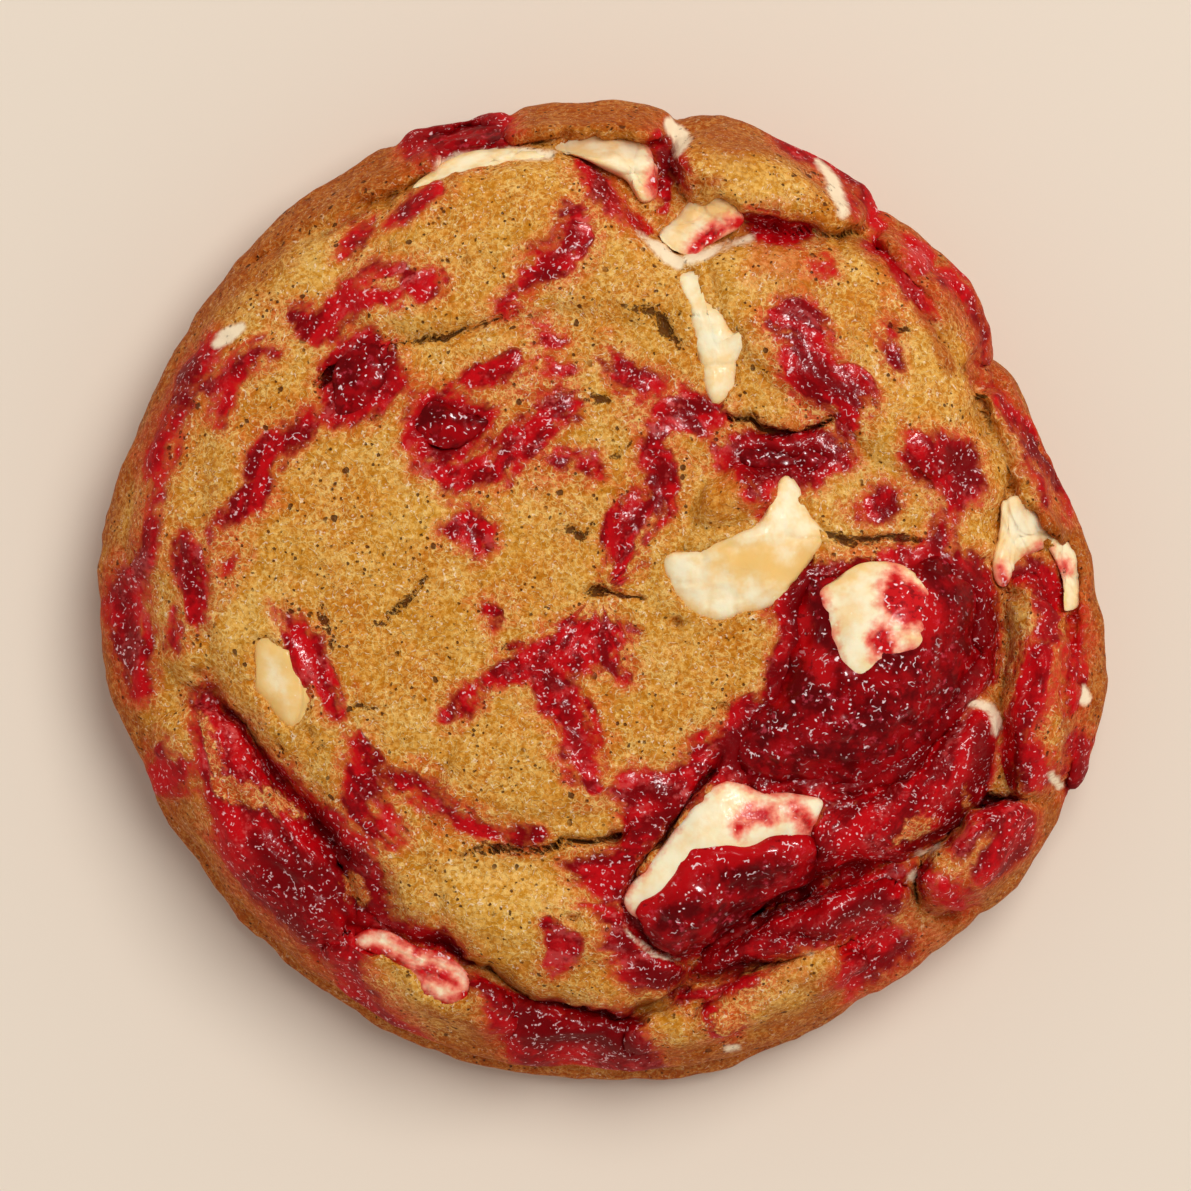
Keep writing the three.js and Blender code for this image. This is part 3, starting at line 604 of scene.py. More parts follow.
# ------------------------------------------------------------------ red marbling and other stains
RED = strokes(
    ((-21.4, 36.4, 0.7), (-19.6, 37.2, 0.8), (-16.3, 39.5, 0.7)),
    ((-25.5, 33.1, 0.3), (-24.3, 35.4, 0.6), (-22.7, 37.2, 0.4)),
    (
        (-29.9, 27.2, 1), (-28.1, 25.6, 1.1), (-26.6, 26.9, 1), (-24.5, 28.4, 1), (-22.7, 29.2, 0.9),
        (-20.7, 28.9, 0.8),
    ),
    ((-25.3, 30.5, 0.5), (-22.7, 31.8, 0.9), (-19.9, 32, 0.9), (-17.6, 30, 1.7)),
    ((-40.9, 20.7, 0.5), (-39.4, 22.8, 0.7), (-38.6, 24.1, 0.5)),
    ((-41.4, 18.9, 0.5), (-42.7, 15.9, 0.8), (-44, 13.1, 0.7), (-44.5, 9, 0.6)),
    ((-38.9, 20, 0.8), (-37.3, 20.5, 1), (-35.8, 22.3, 1), (-34.2, 23.6, 0.9), (-32.7, 23.8, 0.6)),
    ((-37.3, 20, 0.7), (-37.8, 18.4, 0.6), (-38.2, 16.9, 0.3)),
    (
        (-29.1, 17.7, 0.7), (-30.9, 15.7, 1.3), (-33, 13.9, 1.5), (-34, 12.3, 1.3), (-33.7, 10.3, 0.9),
        (-34.8, 9, 1.2), (-36.8, 7.5, 0.7), (-37.8, 5.7, 0.4),
    ),
    ((-36, 3.6, 0.3), (-37.1, 1.8, 0.2)),
    (
        (-2.8, 36.9, 1.1), (-3, 34.6, 1.5), (-4.3, 33.1, 1.6), (-6.6, 31.3, 1.4), (-8.1, 29.7, 1),
        (-9.9, 28.4, 0.6),
    ),
    ((-2.5, 41.8, 0.8), (-0.7, 40.7, 1.3), (1.1, 38.7, 1.5), (2.4, 37.2, 1.3), (3.9, 35.6, 0.8)),
    ((5.9, 44.4, 1), (6.3, 42, 1.3), (6.4, 40.2, 1.4), (6.6, 38, 0.8)),
    ((14.9, 36.4, 0.5), (17, 36.1, 0.8), (18.3, 35.6, 0.6), (20.3, 35.6, 0.6)),
    ((-5.3, 25, 1.1), (-4.2, 24.5, 1)),
    ((-5.8, 22.5, 0.6), (-3.8, 21.5, 0.8)),
    ((-13, 21.3, 0.8), (-11, 21.5, 1), (-9.2, 22.5, 0.9)),
    ((0.8, 23.3, 0.7), (2.4, 21.3, 1.1), (4.2, 20, 1.5)),
    ((-3.5, 18.5, 1.3), (-5.5, 17, 2), (-8.7, 13.8, 1.7), (-10.5, 11, 1)),
    ((-16.8, 12.4, 1), (-14.5, 11.2, 1.4), (-12, 11.8, 1.2)),
    ((-1.9, 12.4, 0.8), (-1.5, 12.2, 1)),
    ((-4.8, 12.8, 0.6), (-4.2, 12.8, 0.8)),
    ((5.4, 15.2, 1), (6.6, 17, 1.3), (9.4, 17.6, 1.3), (11.4, 17.9, 0.7)),
    (
        (4.9, 13.4, 1.5), (5.7, 11.3, 1.8), (5.2, 9.3, 1.7), (3.4, 7.5, 2), (2.1, 5.4, 1.7),
        (2.2, 3.6, 1.3), (1.6, 1.1, 0.8),
    ),
    ((-14.6, 5.7, 1), (-12.6, 6, 1.6), (-11.7, 5, 1.4), (-11.8, 3.9, 0.6)),
    ((-11.2, -2.5, 0.6), (-10.8, -2.5, 0.8)),
    (
        (-15.5, -12.5, 0.5), (-12, -9.5, 1), (-8, -7.5, 1.6), (-4.5, -6.5, 2.3), (-0.5, -4.5, 1.9),
        (2, -3.8, 0.8),
    ),
    ((-5.5, -8, 1.8), (-4, -11, 2.1), (-2.7, -14, 2), (-1.8, -17, 1.6), (-0.8, -19.5, 0.9)),
    ((-1, -6, 1.6), (2.5, -8.2, 0.6)),
    ((19.8, 24, 2), (20.5, 22.5, 2.8), (22.5, 20.5, 2.4), (24.8, 19, 2.4), (24.5, 16, 1.1)),
    ((17.6, 27, 1), (19.5, 27.4, 2), (20.6, 25.5, 1.6)),
    ((21.4, 32, 0.6), (22, 32, 0.7)),
    ((28.4, 25.6, 0.4), (28.7, 22.5, 0.6)),
    ((14.2, 11.6, 0.8), (15.4, 10.8, 0.9), (16, 8.2, 0.4)),
    ((27.2, 34.1, 0.4), (30, 30.6, 0.5), (32.6, 26.9, 0.4)),
    ((30.2, 34.8, 0.4), (31.6, 32.8, 0.6)),
    (
        (18.4, 45, 0.5), (20.6, 44, 0.8), (23.2, 42.4, 1), (25, 40.4, 1), (26.4, 38.4, 1),
        (27.6, 36.4, 0.7),
    ),
    ((34.1, 30.7, 0.7), (35.9, 29.7, 1), (37.2, 27.4, 1), (38, 25.4, 0.9), (38, 23.3, 0.6)),
    ((38, 20.5, 0.4), (39.7, 20.2, 0.5), (40.8, 18.9, 0.4)),
    (
        (40.3, 17.7, 0.7), (42, 16.1, 0.9), (43.3, 13.8, 0.9), (44.9, 11.8, 0.8), (46.2, 9.5, 0.7),
        (46.7, 7.5, 0.5),
    ),
    ((42.3, 12.1, 0.8), (43.3, 10.5, 1), (44.1, 8.7, 0.7)),
    ((41.5, 1.1, 1.2), (43.9, 1.1, 1.9), (44.8, -1.2, 2), (44.2, -4, 1.5)),
    ((46.9, -2.8, 0.9), (46.9, -5.4, 1.1), (46.4, -9.2, 1.1), (46.2, -11.3, 0.8)),
    ((43.4, -5.4, 1.2), (43, -8.4, 1.6), (42.2, -11.5, 1.6), (41.6, -14, 1.7), (42.6, -18, 1.8)),
    ((47.5, -15.4, 1.4), (47.7, -17.6, 2.2), (46.7, -20, 1)),
    ((35.6, -25.8, 0.9), (38.5, -23, 1.4), (41.2, -23.2, 1.9), (40.6, -25.6, 1.6), (38, -27.6, 0.9)),
    ((31.8, -28.1, 0.8), (33.6, -29.4, 1.2), (35.6, -30.9, 0.8)),
    ((-44.3, 8, 0.7), (-44.8, 5.7, 1), (-45, 3.1, 0.7)),
    ((-46.6, 1.4, 1.4), (-47, -1.5, 2.2), (-46.8, -4.1, 2.2), (-46.6, -6.6, 1.9), (-46.2, -9.4, 1.1)),
    ((-41.4, 4.4, 0.8), (-41.2, 2.3, 1), (-40.7, -0.2, 1), (-40.5, -2.8, 0.7)),
    ((-42.6, -2, 0.7), (-42.5, -5.2, 0.8)),
    ((-43.6, -15.8, 0.9), (-43.2, -18.4, 1.9), (-40.6, -18, 1.3)),
    ((-31.8, -2.2, 0.9), (-30.6, -4, 1.4), (-29.2, -6.8, 1.4), (-27.8, -9.4, 1.3), (-26.8, -11.6, 0.8)),
    (
        (-23.7, -15.4, 0.8), (-23.6, -18, 1.5), (-24.3, -20.7, 1.7), (-22.5, -22.7, 1.3),
        (-20.7, -24.3, 1),
    ),
    (
        (-20.1, -19.2, 1.3), (-18.4, -18.9, 1.3), (-17.1, -20.4, 1.4), (-15.5, -22, 1),
        (-13.2, -23.3, 0.9), (-11, -23.8, 0.6), (-8.7, -24.3, 1), (-6.4, -24.3, 0.9),
    ),
    ((-4.6, -33.5, 1), (-3.8, -35.3, 1.2), (-4.3, -37.1, 0.8)),
    ((8, -40.2, 0.6), (11.9, -39.7, 0.7), (15.2, -38.9, 0.7), (18.3, -37.1, 0.6)),
    ((10.4, -41.4, 0.8), (11, -42.4, 1.2), (12.4, -43.6, 0.8)),
) + patches(
    ((-26.3, 22), (-22.7, 24.3), (-21.4, 23), (-21.7, 20.2), (-23, 18.4), (-26, 17.7), (-26.6, 19.5)),
    (
        (-18.7, 16.7), (-17.4, 18.7), (-15.3, 18.9), (-13.8, 17.6), (-11.2, 16.9), (-13, 14.8),
        (-15.1, 13.6), (-17, 13.9),
    ),
    (
        (30.3, 15.7), (33.9, 15.4), (36.4, 15.4), (37.4, 13.9), (38.2, 11.3), (38.2, 9.5), (36.7, 8.2),
        (35.2, 7.4), (34.6, 3.6), (32.6, 2.6), (32.6, 5), (33.4, 8), (32.3, 10.4), (30.5, 11.8),
        (29.7, 12.9),
    ),
    ((24.4, 8.7), (26.7, 9.7), (29.2, 10.2), (28.7, 7.7), (26.2, 7.1)),
    (
        (21.5, 2.6), (19.6, 4.2), (18.2, 1), (16.6, -2.5), (18.4, -5), (17.6, -9.4), (15, -11.4),
        (11.4, -14), (9.8, -17.6), (13, -21.4), (22, -22), (28, -21), (33.8, -17), (36.8, -10.8),
        (38.8, -6), (38, 1.8), (33, 4), (27, 4.4),
    ),
    (
        (-40.9, -16.8), (-40.6, -11), (-39, -9.4), (-36.8, -12), (-34.3, -15), (-30.4, -18.6),
        (-26.6, -22), (-24, -25), (-21.6, -28.6), (-20.4, -32), (-14, -35), (-12.4, -38), (-22, -34.4),
        (-24, -38.6), (-20.1, -42.5), (-17.6, -45.6), (-21.4, -43.5), (-25.2, -40.9), (-26.2, -38.3),
        (-29.3, -35.8), (-32, -32.9), (-34.5, -30), (-37, -27.6), (-38.5, -23),
    ),
    (
        (2.9, -18.1), (7, -17.4), (9.3, -14.5), (10.3, -14.5), (11.6, -17.6), (8, -21.4), (5.4, -24.5),
        (2.9, -28), (1.9, -30.4), (0.8, -31.5), (-2.3, -28.9), (-3.5, -26.8), (1.6, -25.3),
        (1.6, -21.5), (0.3, -20.2),
    ),
    (
        (-2.3, -30.9), (-0.2, -32.5), (0.3, -34.8), (1.1, -37.4), (2.9, -39.2), (6.7, -39.4), (9, -38),
        (6, -36.1), (2.9, -33.5), (1.4, -31),
    ),
    (
        (-13.3, -37.2), (-10, -39.9), (-6.4, -40.9), (-3.5, -41.3), (0.3, -41.2), (2.9, -42.1),
        (5.4, -45.8), (6.5, -47.6), (1, -48.4), (-4.8, -47.8), (-8.7, -46.4), (-10.5, -43.3),
        (-12, -39.9),
    ),
    (
        (26, -20.2), (31.3, -17.6), (35, -13), (36.6, -11.6), (39.2, -12.6), (39, -16), (37.6, -21.5),
        (34.9, -24), (31, -26.4), (28.2, -27.6), (24, -28.6), (20.6, -29.4), (20.6, -23.6), (22, -21),
    ),
    (
        (10, -36), (14, -33.6), (18, -30.6), (22, -28.8), (28, -27.4), (31.6, -26.6), (30.8, -29.8),
        (28.2, -33.4), (23.3, -34.7), (17, -36.8), (11, -38.4), (8, -38.6),
    ),
    (
        (30.4, -34.2), (27.4, -33.6), (24.2, -34.6), (23.2, -37.6), (24.8, -41.6), (28.4, -38.8),
        (31.4, -36.6),
    ),
    ((-19, 43.9), (-10, 44), (-9.6, 46.6), (-14, 47.8), (-19.6, 46.4)),
)

THICK = strokes(
    ((-3.2, 35.6, 0.5), (-3.6, 34, 0.8), (-5.6, 32.2, 0.6)),
    ((-0.2, 40.2, 0.4), (1.6, 38, 0.8), (3, 36.5, 0.5)),
    ((5.3, 11.6, 0.6), (5.1, 9, 0.6), (3, 6.6, 0.8)),
    ((-3.4, -11, 0.3), (-2.7, -14, 0.7), (-1.9, -17, 0.3)),
    ((-6.8, -8.4, 0.3), (-4.6, -9.4, 0.5), (-2.6, -8.2, 0.3)),
    ((20.8, 21.8, 1.4), (23.6, 19.8, 1), (24.8, 18.6, 1)),
    ((35.4, 13.4, 1.4), (36.4, 11, 1.2), (33.6, 8, 0.7), (33.4, 4, 1.2)),
    ((-34.6, -24.8, 0.8), (-30, -28, 1.5), (-25.5, -32.4, 1)),
    ((-24, -37.6, 0.5), (-21, -41.5, 0.6)),
    (
        (-33.6, -17.8, 0.3), (-28.4, -23, 0.5), (-24.2, -28, 0.7), (-20.8, -32.6, 0.6),
        (-13.8, -35.6, 0.3),
    ),
    ((-9.6, -41.6, 0.8), (-5, -43.4, 1.8), (1.6, -44.6, 1.8), (4.6, -46.4, 0.8)),
    ((5.6, -19.4, 1.2), (6.4, -22.4, 0.8), (2.8, -29, 0.7)),
    ((1.8, -34.6, 0.8), (4, -37.4, 1.3), (8, -38.4, 0.6)),
    ((16, -35.2, 0.8), (22, -33.4, 1.2), (28, -31, 1)),
    ((34.6, -22.2, 0.7), (37.4, -18, 0.8), (37.6, -14, 0.9)),
    ((43.4, 0.2, 0.9), (44.6, -1.6, 1), (44, -3.4, 0.7)),
    ((47.4, -16, 0.6), (47.4, -18, 1.1)),
    ((-47.2, -2.6, 0.6), (-47, -6.2, 0.9)),
    ((42.6, 15, 0.3), (44.4, 12.2, 0.5), (46, 9.4, 0.3)),
    ((36.8, 28, 0.4), (37.8, 25, 0.4)),
)

BLUSH = strokes(
    ((-24, 31, 1.4), (-20, 30.6, 1.8), (-17.6, 30.4, 1.2)),
    ((-0.8, 37, 1), (-2, 33.4, 1.6), (-4.6, 30.6, 1.2)),
    ((-12, 27, 0.8), (-8, 27.2, 1.2), (-6, 26, 1)),
    ((-9.4, 19.6, 0.8), (-6.6, 20.4, 1), (-2.6, 20.6, 0.8)),
    ((-6.4, 10.6, 1.2), (-6.8, 13.8, 2), (-5, 16.4, 1.6)),
    ((3.6, 17.6, 2), (8, 19.4, 1.6), (9.8, 16.6, 1.6)),
    ((16.4, 26, 1.4), (18, 24.4, 1.4), (21.4, 16.6, 1.6), (23.4, 14.2, 1)),
    ((15, 31.6, 1.6), (17.6, 32.8, 1.6), (21, 31.4, 1)),
    ((40.6, -7.6, 0.8), (41, -11, 0.7), (39.8, -13.4, 0.6)),
    ((43.4, -6.4, 1.2), (43.8, -10.6, 1.4), (44, -13.8, 1)),
    ((-38.6, 2, 0.8), (-37, 6, 1), (-33, 9, 1.2)),
    ((-34.4, -12.6, 0.8), (-37.6, -15, 1.4), (-38.6, -20, 1.4), (-35.6, -26.2, 1.4)),
    ((-26.4, -36.6, 0.8), (-22.6, -38.8, 1.4), (-20.8, -40.6, 1.2)),
    ((1.6, -31.6, 0.7), (2.6, -33.6, 0.8), (4.2, -35.4, 0.8)),
    ((28.2, -25.3, 0.8), (30.8, -24, 1.1), (33, -22.4, 0.9)),
    ((26.4, -36, 1.4), (28.8, -38.8, 1.2)),
    ((31.4, -32.6, 1.4), (33.4, -34.8, 1)),
    ((29.6, -38.4, 0.8), (24.6, -41.8, 0.8)),
    ((19, 44.8, 0.8), (22.6, 43, 1.2), (25, 40.6, 1.2)),
    ((9, -19.6, 0.4), (5.8, -23.2, 0.6), (3, -27.4, 0.4)),
    ((-38.4, -13, 1.4), (-35, -17.6, 2.2), (-31, -21.6, 1.8)),
    ((-31.4, 26.6, 0.8), (-33.4, 28.6, 0.5)),
)

GOLD = strokes(
    ((-38.6, -19, 0.5), (-35.6, -20.4, 1), (-32.6, -21, 0.8), (-30.2, -22.4, 0.4)),
    ((-40.4, -12.6, 0.5), (-39, -15.4, 0.8), (-38.2, -17.4, 0.5)),
    ((19.8, 4.4, 0.8), (23, 4, 1.3), (26, 4.2, 1.3), (28.2, 4.6, 0.8)),
    ((-24.6, -29.4, 0.9), (-23.8, -30.4, 0.9)),
    ((28.6, -25, 0.5), (31, -23.6, 0.9), (32.8, -22.4, 0.5)),
    ((35.4, -19.8, 0.4), (35.8, -20.8, 0.4)),
    ((6.4, -43.4, 1.6), (8.6, -43.2, 1.8)),
    ((12.4, -42.2, 1.4), (15.4, -40.9, 1.7), (19.4, -38.5, 2), (22.6, -37.2, 1.4)),
    ((-19.4, -39.6, 0.9), (-16.4, -42.4, 1.6), (-13.4, -43, 1.4)),
    ((29, -39, 0.6), (29.6, -38.4, 0.6)),
)

IVORY_STREAKS = strokes(
    ((-38.2, 24.3, 0.4), (-37, 25.3, 0.7), (-36, 26.1, 0.5)),
    ((21.4, 42.6, 0.2), (22.6, 41.2, 0.5), (23.4, 39.6, 0.6), (24, 37.6, 0.5)),
    ((8.6, 32.8, 0.4), (10.8, 33.4, 0.35), (12.6, 34.2, 0.3), (14.6, 35, 0.35)),
    ((3.4, 35.3, 0.2), (5.4, 33.9, 0.45), (7.6, 32.4, 0.5)),
    ((2.4, -33.4, 0.1), (3.6, -35, 0.2), (5.6, -36.2, 0.2), (7.6, -36.7, 0.1)),
    ((6.8, 46.4, 0.6), (8, 45, 0.8), (7.6, 43.4, 0.4)),
    ((36.4, -11.3, 0.3), (38, -11.5, 0.5), (39.2, -13.1, 0.5), (39, -14.1, 0.3)),
    ((12.4, -45.7, 0.4), (13.4, -45.6, 0.4)),
    ((20.4, -36.1, 0.4), (20.8, -36.1, 0.4)),
    ((30.7, -28.4, 0.7), (30.9, -28.4, 0.7)),
    ((31, -26.1, 0.3), (33.3, -25.6, 0.4)),
    ((44.8, -18.4, 0.4), (45.4, -19.4, 0.5)),
    ((48, -10.2, 0.6), (48, -10.8, 0.7)),
    ((-16.4, 42.2, 0.5), (-11, 43.2, 0.6), (-5, 43, 0.5)),
)

BROWN = strokes(
    ((8.6, 46.4, 1), (13.4, 46.8, 1.2), (17.4, 45, 1.2), (20.4, 42.4, 0.8)),
    ((9.4, 40.4, 0.4), (11.4, 40.4, 0.6)),
    ((-9, 47, 1), (-3, 47.4, 1.6), (5, 46.8, 1.4)),
    ((27, 37, 1), (31.6, 35, 1.6), (36, 30.6, 1.6), (39, 25, 1.2)),
    ((29, 32, 0.7), (32, 27, 0.7), (34.6, 22, 0.7)),
    ((37, 21.6, 0.8), (41.6, 18, 1)),
    ((-38, 32, 1.6), (-31, 38, 1.8), (-23, 42.4, 1.6)),
    ((48.4, 4, 1), (49.4, -4, 1.2), (49.2, -11, 1.2)),
)

HONEY = strokes(
    ((11.2, 8.2, 1.4), (13.4, 9.4, 1.8), (15.6, 9, 1.2)),
    ((9.6, 45, 1.4), (12.6, 42.6, 1.8), (16.6, 39.8, 1.2)),
    ((12.6, 34.8, 1.4), (16.4, 33.6, 1.8), (19.6, 30.6, 1.2)),
    ((46, 6, 0.8), (48.4, -1, 1), (48.6, -8, 0.8)),
)

GLAZED = strokes(
    ((1.1, 43.6, 1), (3.1, 42, 1)),
    ((10.6, 44.6, 0.8), (12.6, 43, 1.6), (14.4, 40.8, 1.2)),
    ((14.6, 38.8, 0.6), (17.4, 38.6, 1), (20.4, 38.8, 0.6)),
    ((33, 20, 0.6), (35.4, 14.6, 1)),
    ((-38, 12, 1), (-40.6, 5, 1.2), (-39.6, -4, 1)),
    ((36.4, -21, 0.8), (39.6, -18.4, 0.8)),
    ((12.8, 8.4, 1), (15, 9.4, 1)),
)

PALE = strokes(
    ((-14, -29.4, 2), (-10, -30.6, 3), (-6.6, -29.8, 2)),
    ((-20, 6, 1), (-15, 8, 1.6)),
    ((-36, -4, 1.4), (-33, -2, 1.4)),
    ((14.6, 44, 1), (13, 42.4, 1.6), (17, 39.4, 1.4)),
    ((16, 34, 2), (14, 31.6, 2)),
    ((-29.6, 33, 1.6), (-27, 30.6, 1.2)),
    ((16, -41, 1.6), (21, -38.2, 1.6)),
    ((34, -22, 0.8), (38, -29, 1.6)),
    ((22, 9.6, 1.2), (28, 12.4, 1.4)),
    ((20, 4.6, 1), (24, 4.2, 1.4), (28, 4.6, 1)),
)


# ------------------------------------------------------------------ embedded pieces
class Filling(Enum):
    """What an embedded piece is made of."""

    IVORY = "white_chocolate"
    FRUIT = "raspberry"


@dataclass(frozen=True)
class Piece:
    """An embedded piece: its outline in plan is drawn in to its centre, over and under its rim.

    The top stands proud over the dough round it, the rim lies edge lower, and thick is the whole.
    """

    node: str
    filling: Filling
    thick: float
    proud: float
    edge: float
    centre: tuple[float, float]
    outline: Points
    border: float = 0.1
    red_edge: bool = False
    lap: float = 0.4
    flat: float = 5.0
    spread: float = 2.0

    RINGS = 34
    STEPS = 10

    @property
    def mark(self) -> Mark:
        """The outline as a patch in plan."""
        return Mark(self.outline, closed=True)

    @property
    def squareness(self) -> float:
        """How flat the top is: 2 is round."""
        return self.flat if self.filling is Filling.IVORY else 3.4

    def shell(self, form: CookieForm, lattice: Lattice) -> Shell:
        """Work the piece's surface out as rings from its top pole to its lower pole.

        A ring at share s of the outline lies at rim + edge * sqrt(1 - s^q) on the top and at
        rim - (thick - edge) * sqrt(1 - s^q) on the underside, over the dough's resting height.
        Noise then moves the surface along its normals.

        Args:
            form: The dough's shape.
            lattice: The noise.

        Returns:
            The closed shell.
        """
        line = smooth_path(self.outline, True, self.STEPS)
        centre = np.array(self.centre)
        turn = np.linspace(0.0, 0.5 * math.pi, self.RINGS + 1)[1:]
        shares = np.concatenate([np.sin(turn), np.sin(turn[-2::-1])])
        rim = self.proud - self.edge
        profile = np.sqrt(np.maximum(0.0, 1.0 - shares**self.squareness))
        above = np.arange(len(shares)) < self.RINGS
        levels = rim + np.where(above, self.edge, self.edge - self.thick) * profile
        plan = centre + shares[:, None, None] * (line - centre)[None]
        plan = np.vstack([centre[None], plan.reshape(-1, 2), centre[None]])
        top = rim + self.edge
        level = np.concatenate([[top], np.repeat(levels, len(line)), [top - self.thick]])
        corners = np.column_stack([plan, form.rest(plan, self.spread) + level])
        first = np.arange(1, len(line) + 1)
        last = first + (len(shares) - 1) * len(line)
        faces = np.vstack([
            fan_faces(0, first, upward=True),
            band_faces(len(shares), len(line), 1),
            fan_faces(len(corners) - 1, last, upward=False),
        ])
        shell = Shell(corners, faces)
        shell.corners = corners + shell.normals() * self.relief(corners, lattice)[:, None]
        return shell

    def relief(self, corners: Array, lattice: Lattice) -> Array:
        """How far the surface moves along its normals: broken faces on chocolate, pulp on fruit."""
        if self.filling is Filling.FRUIT:
            folds = 1.0 - np.abs(lattice.layered(corners, 3.4, 2))
            pulp = 0.18 * lattice.at(corners, 2.2) + 0.06 * lattice.at(corners, 1.1)
            return 0.5 * lattice.at(corners, 6.0) + 0.4 * (folds - 0.7) + pulp
        ledges = np.abs(lattice.at(corners, 4.4))
        return 0.24 * lattice.layered(corners, 3.8, 3) - 0.16 * smooth_step(0.12, 0.0, ledges)


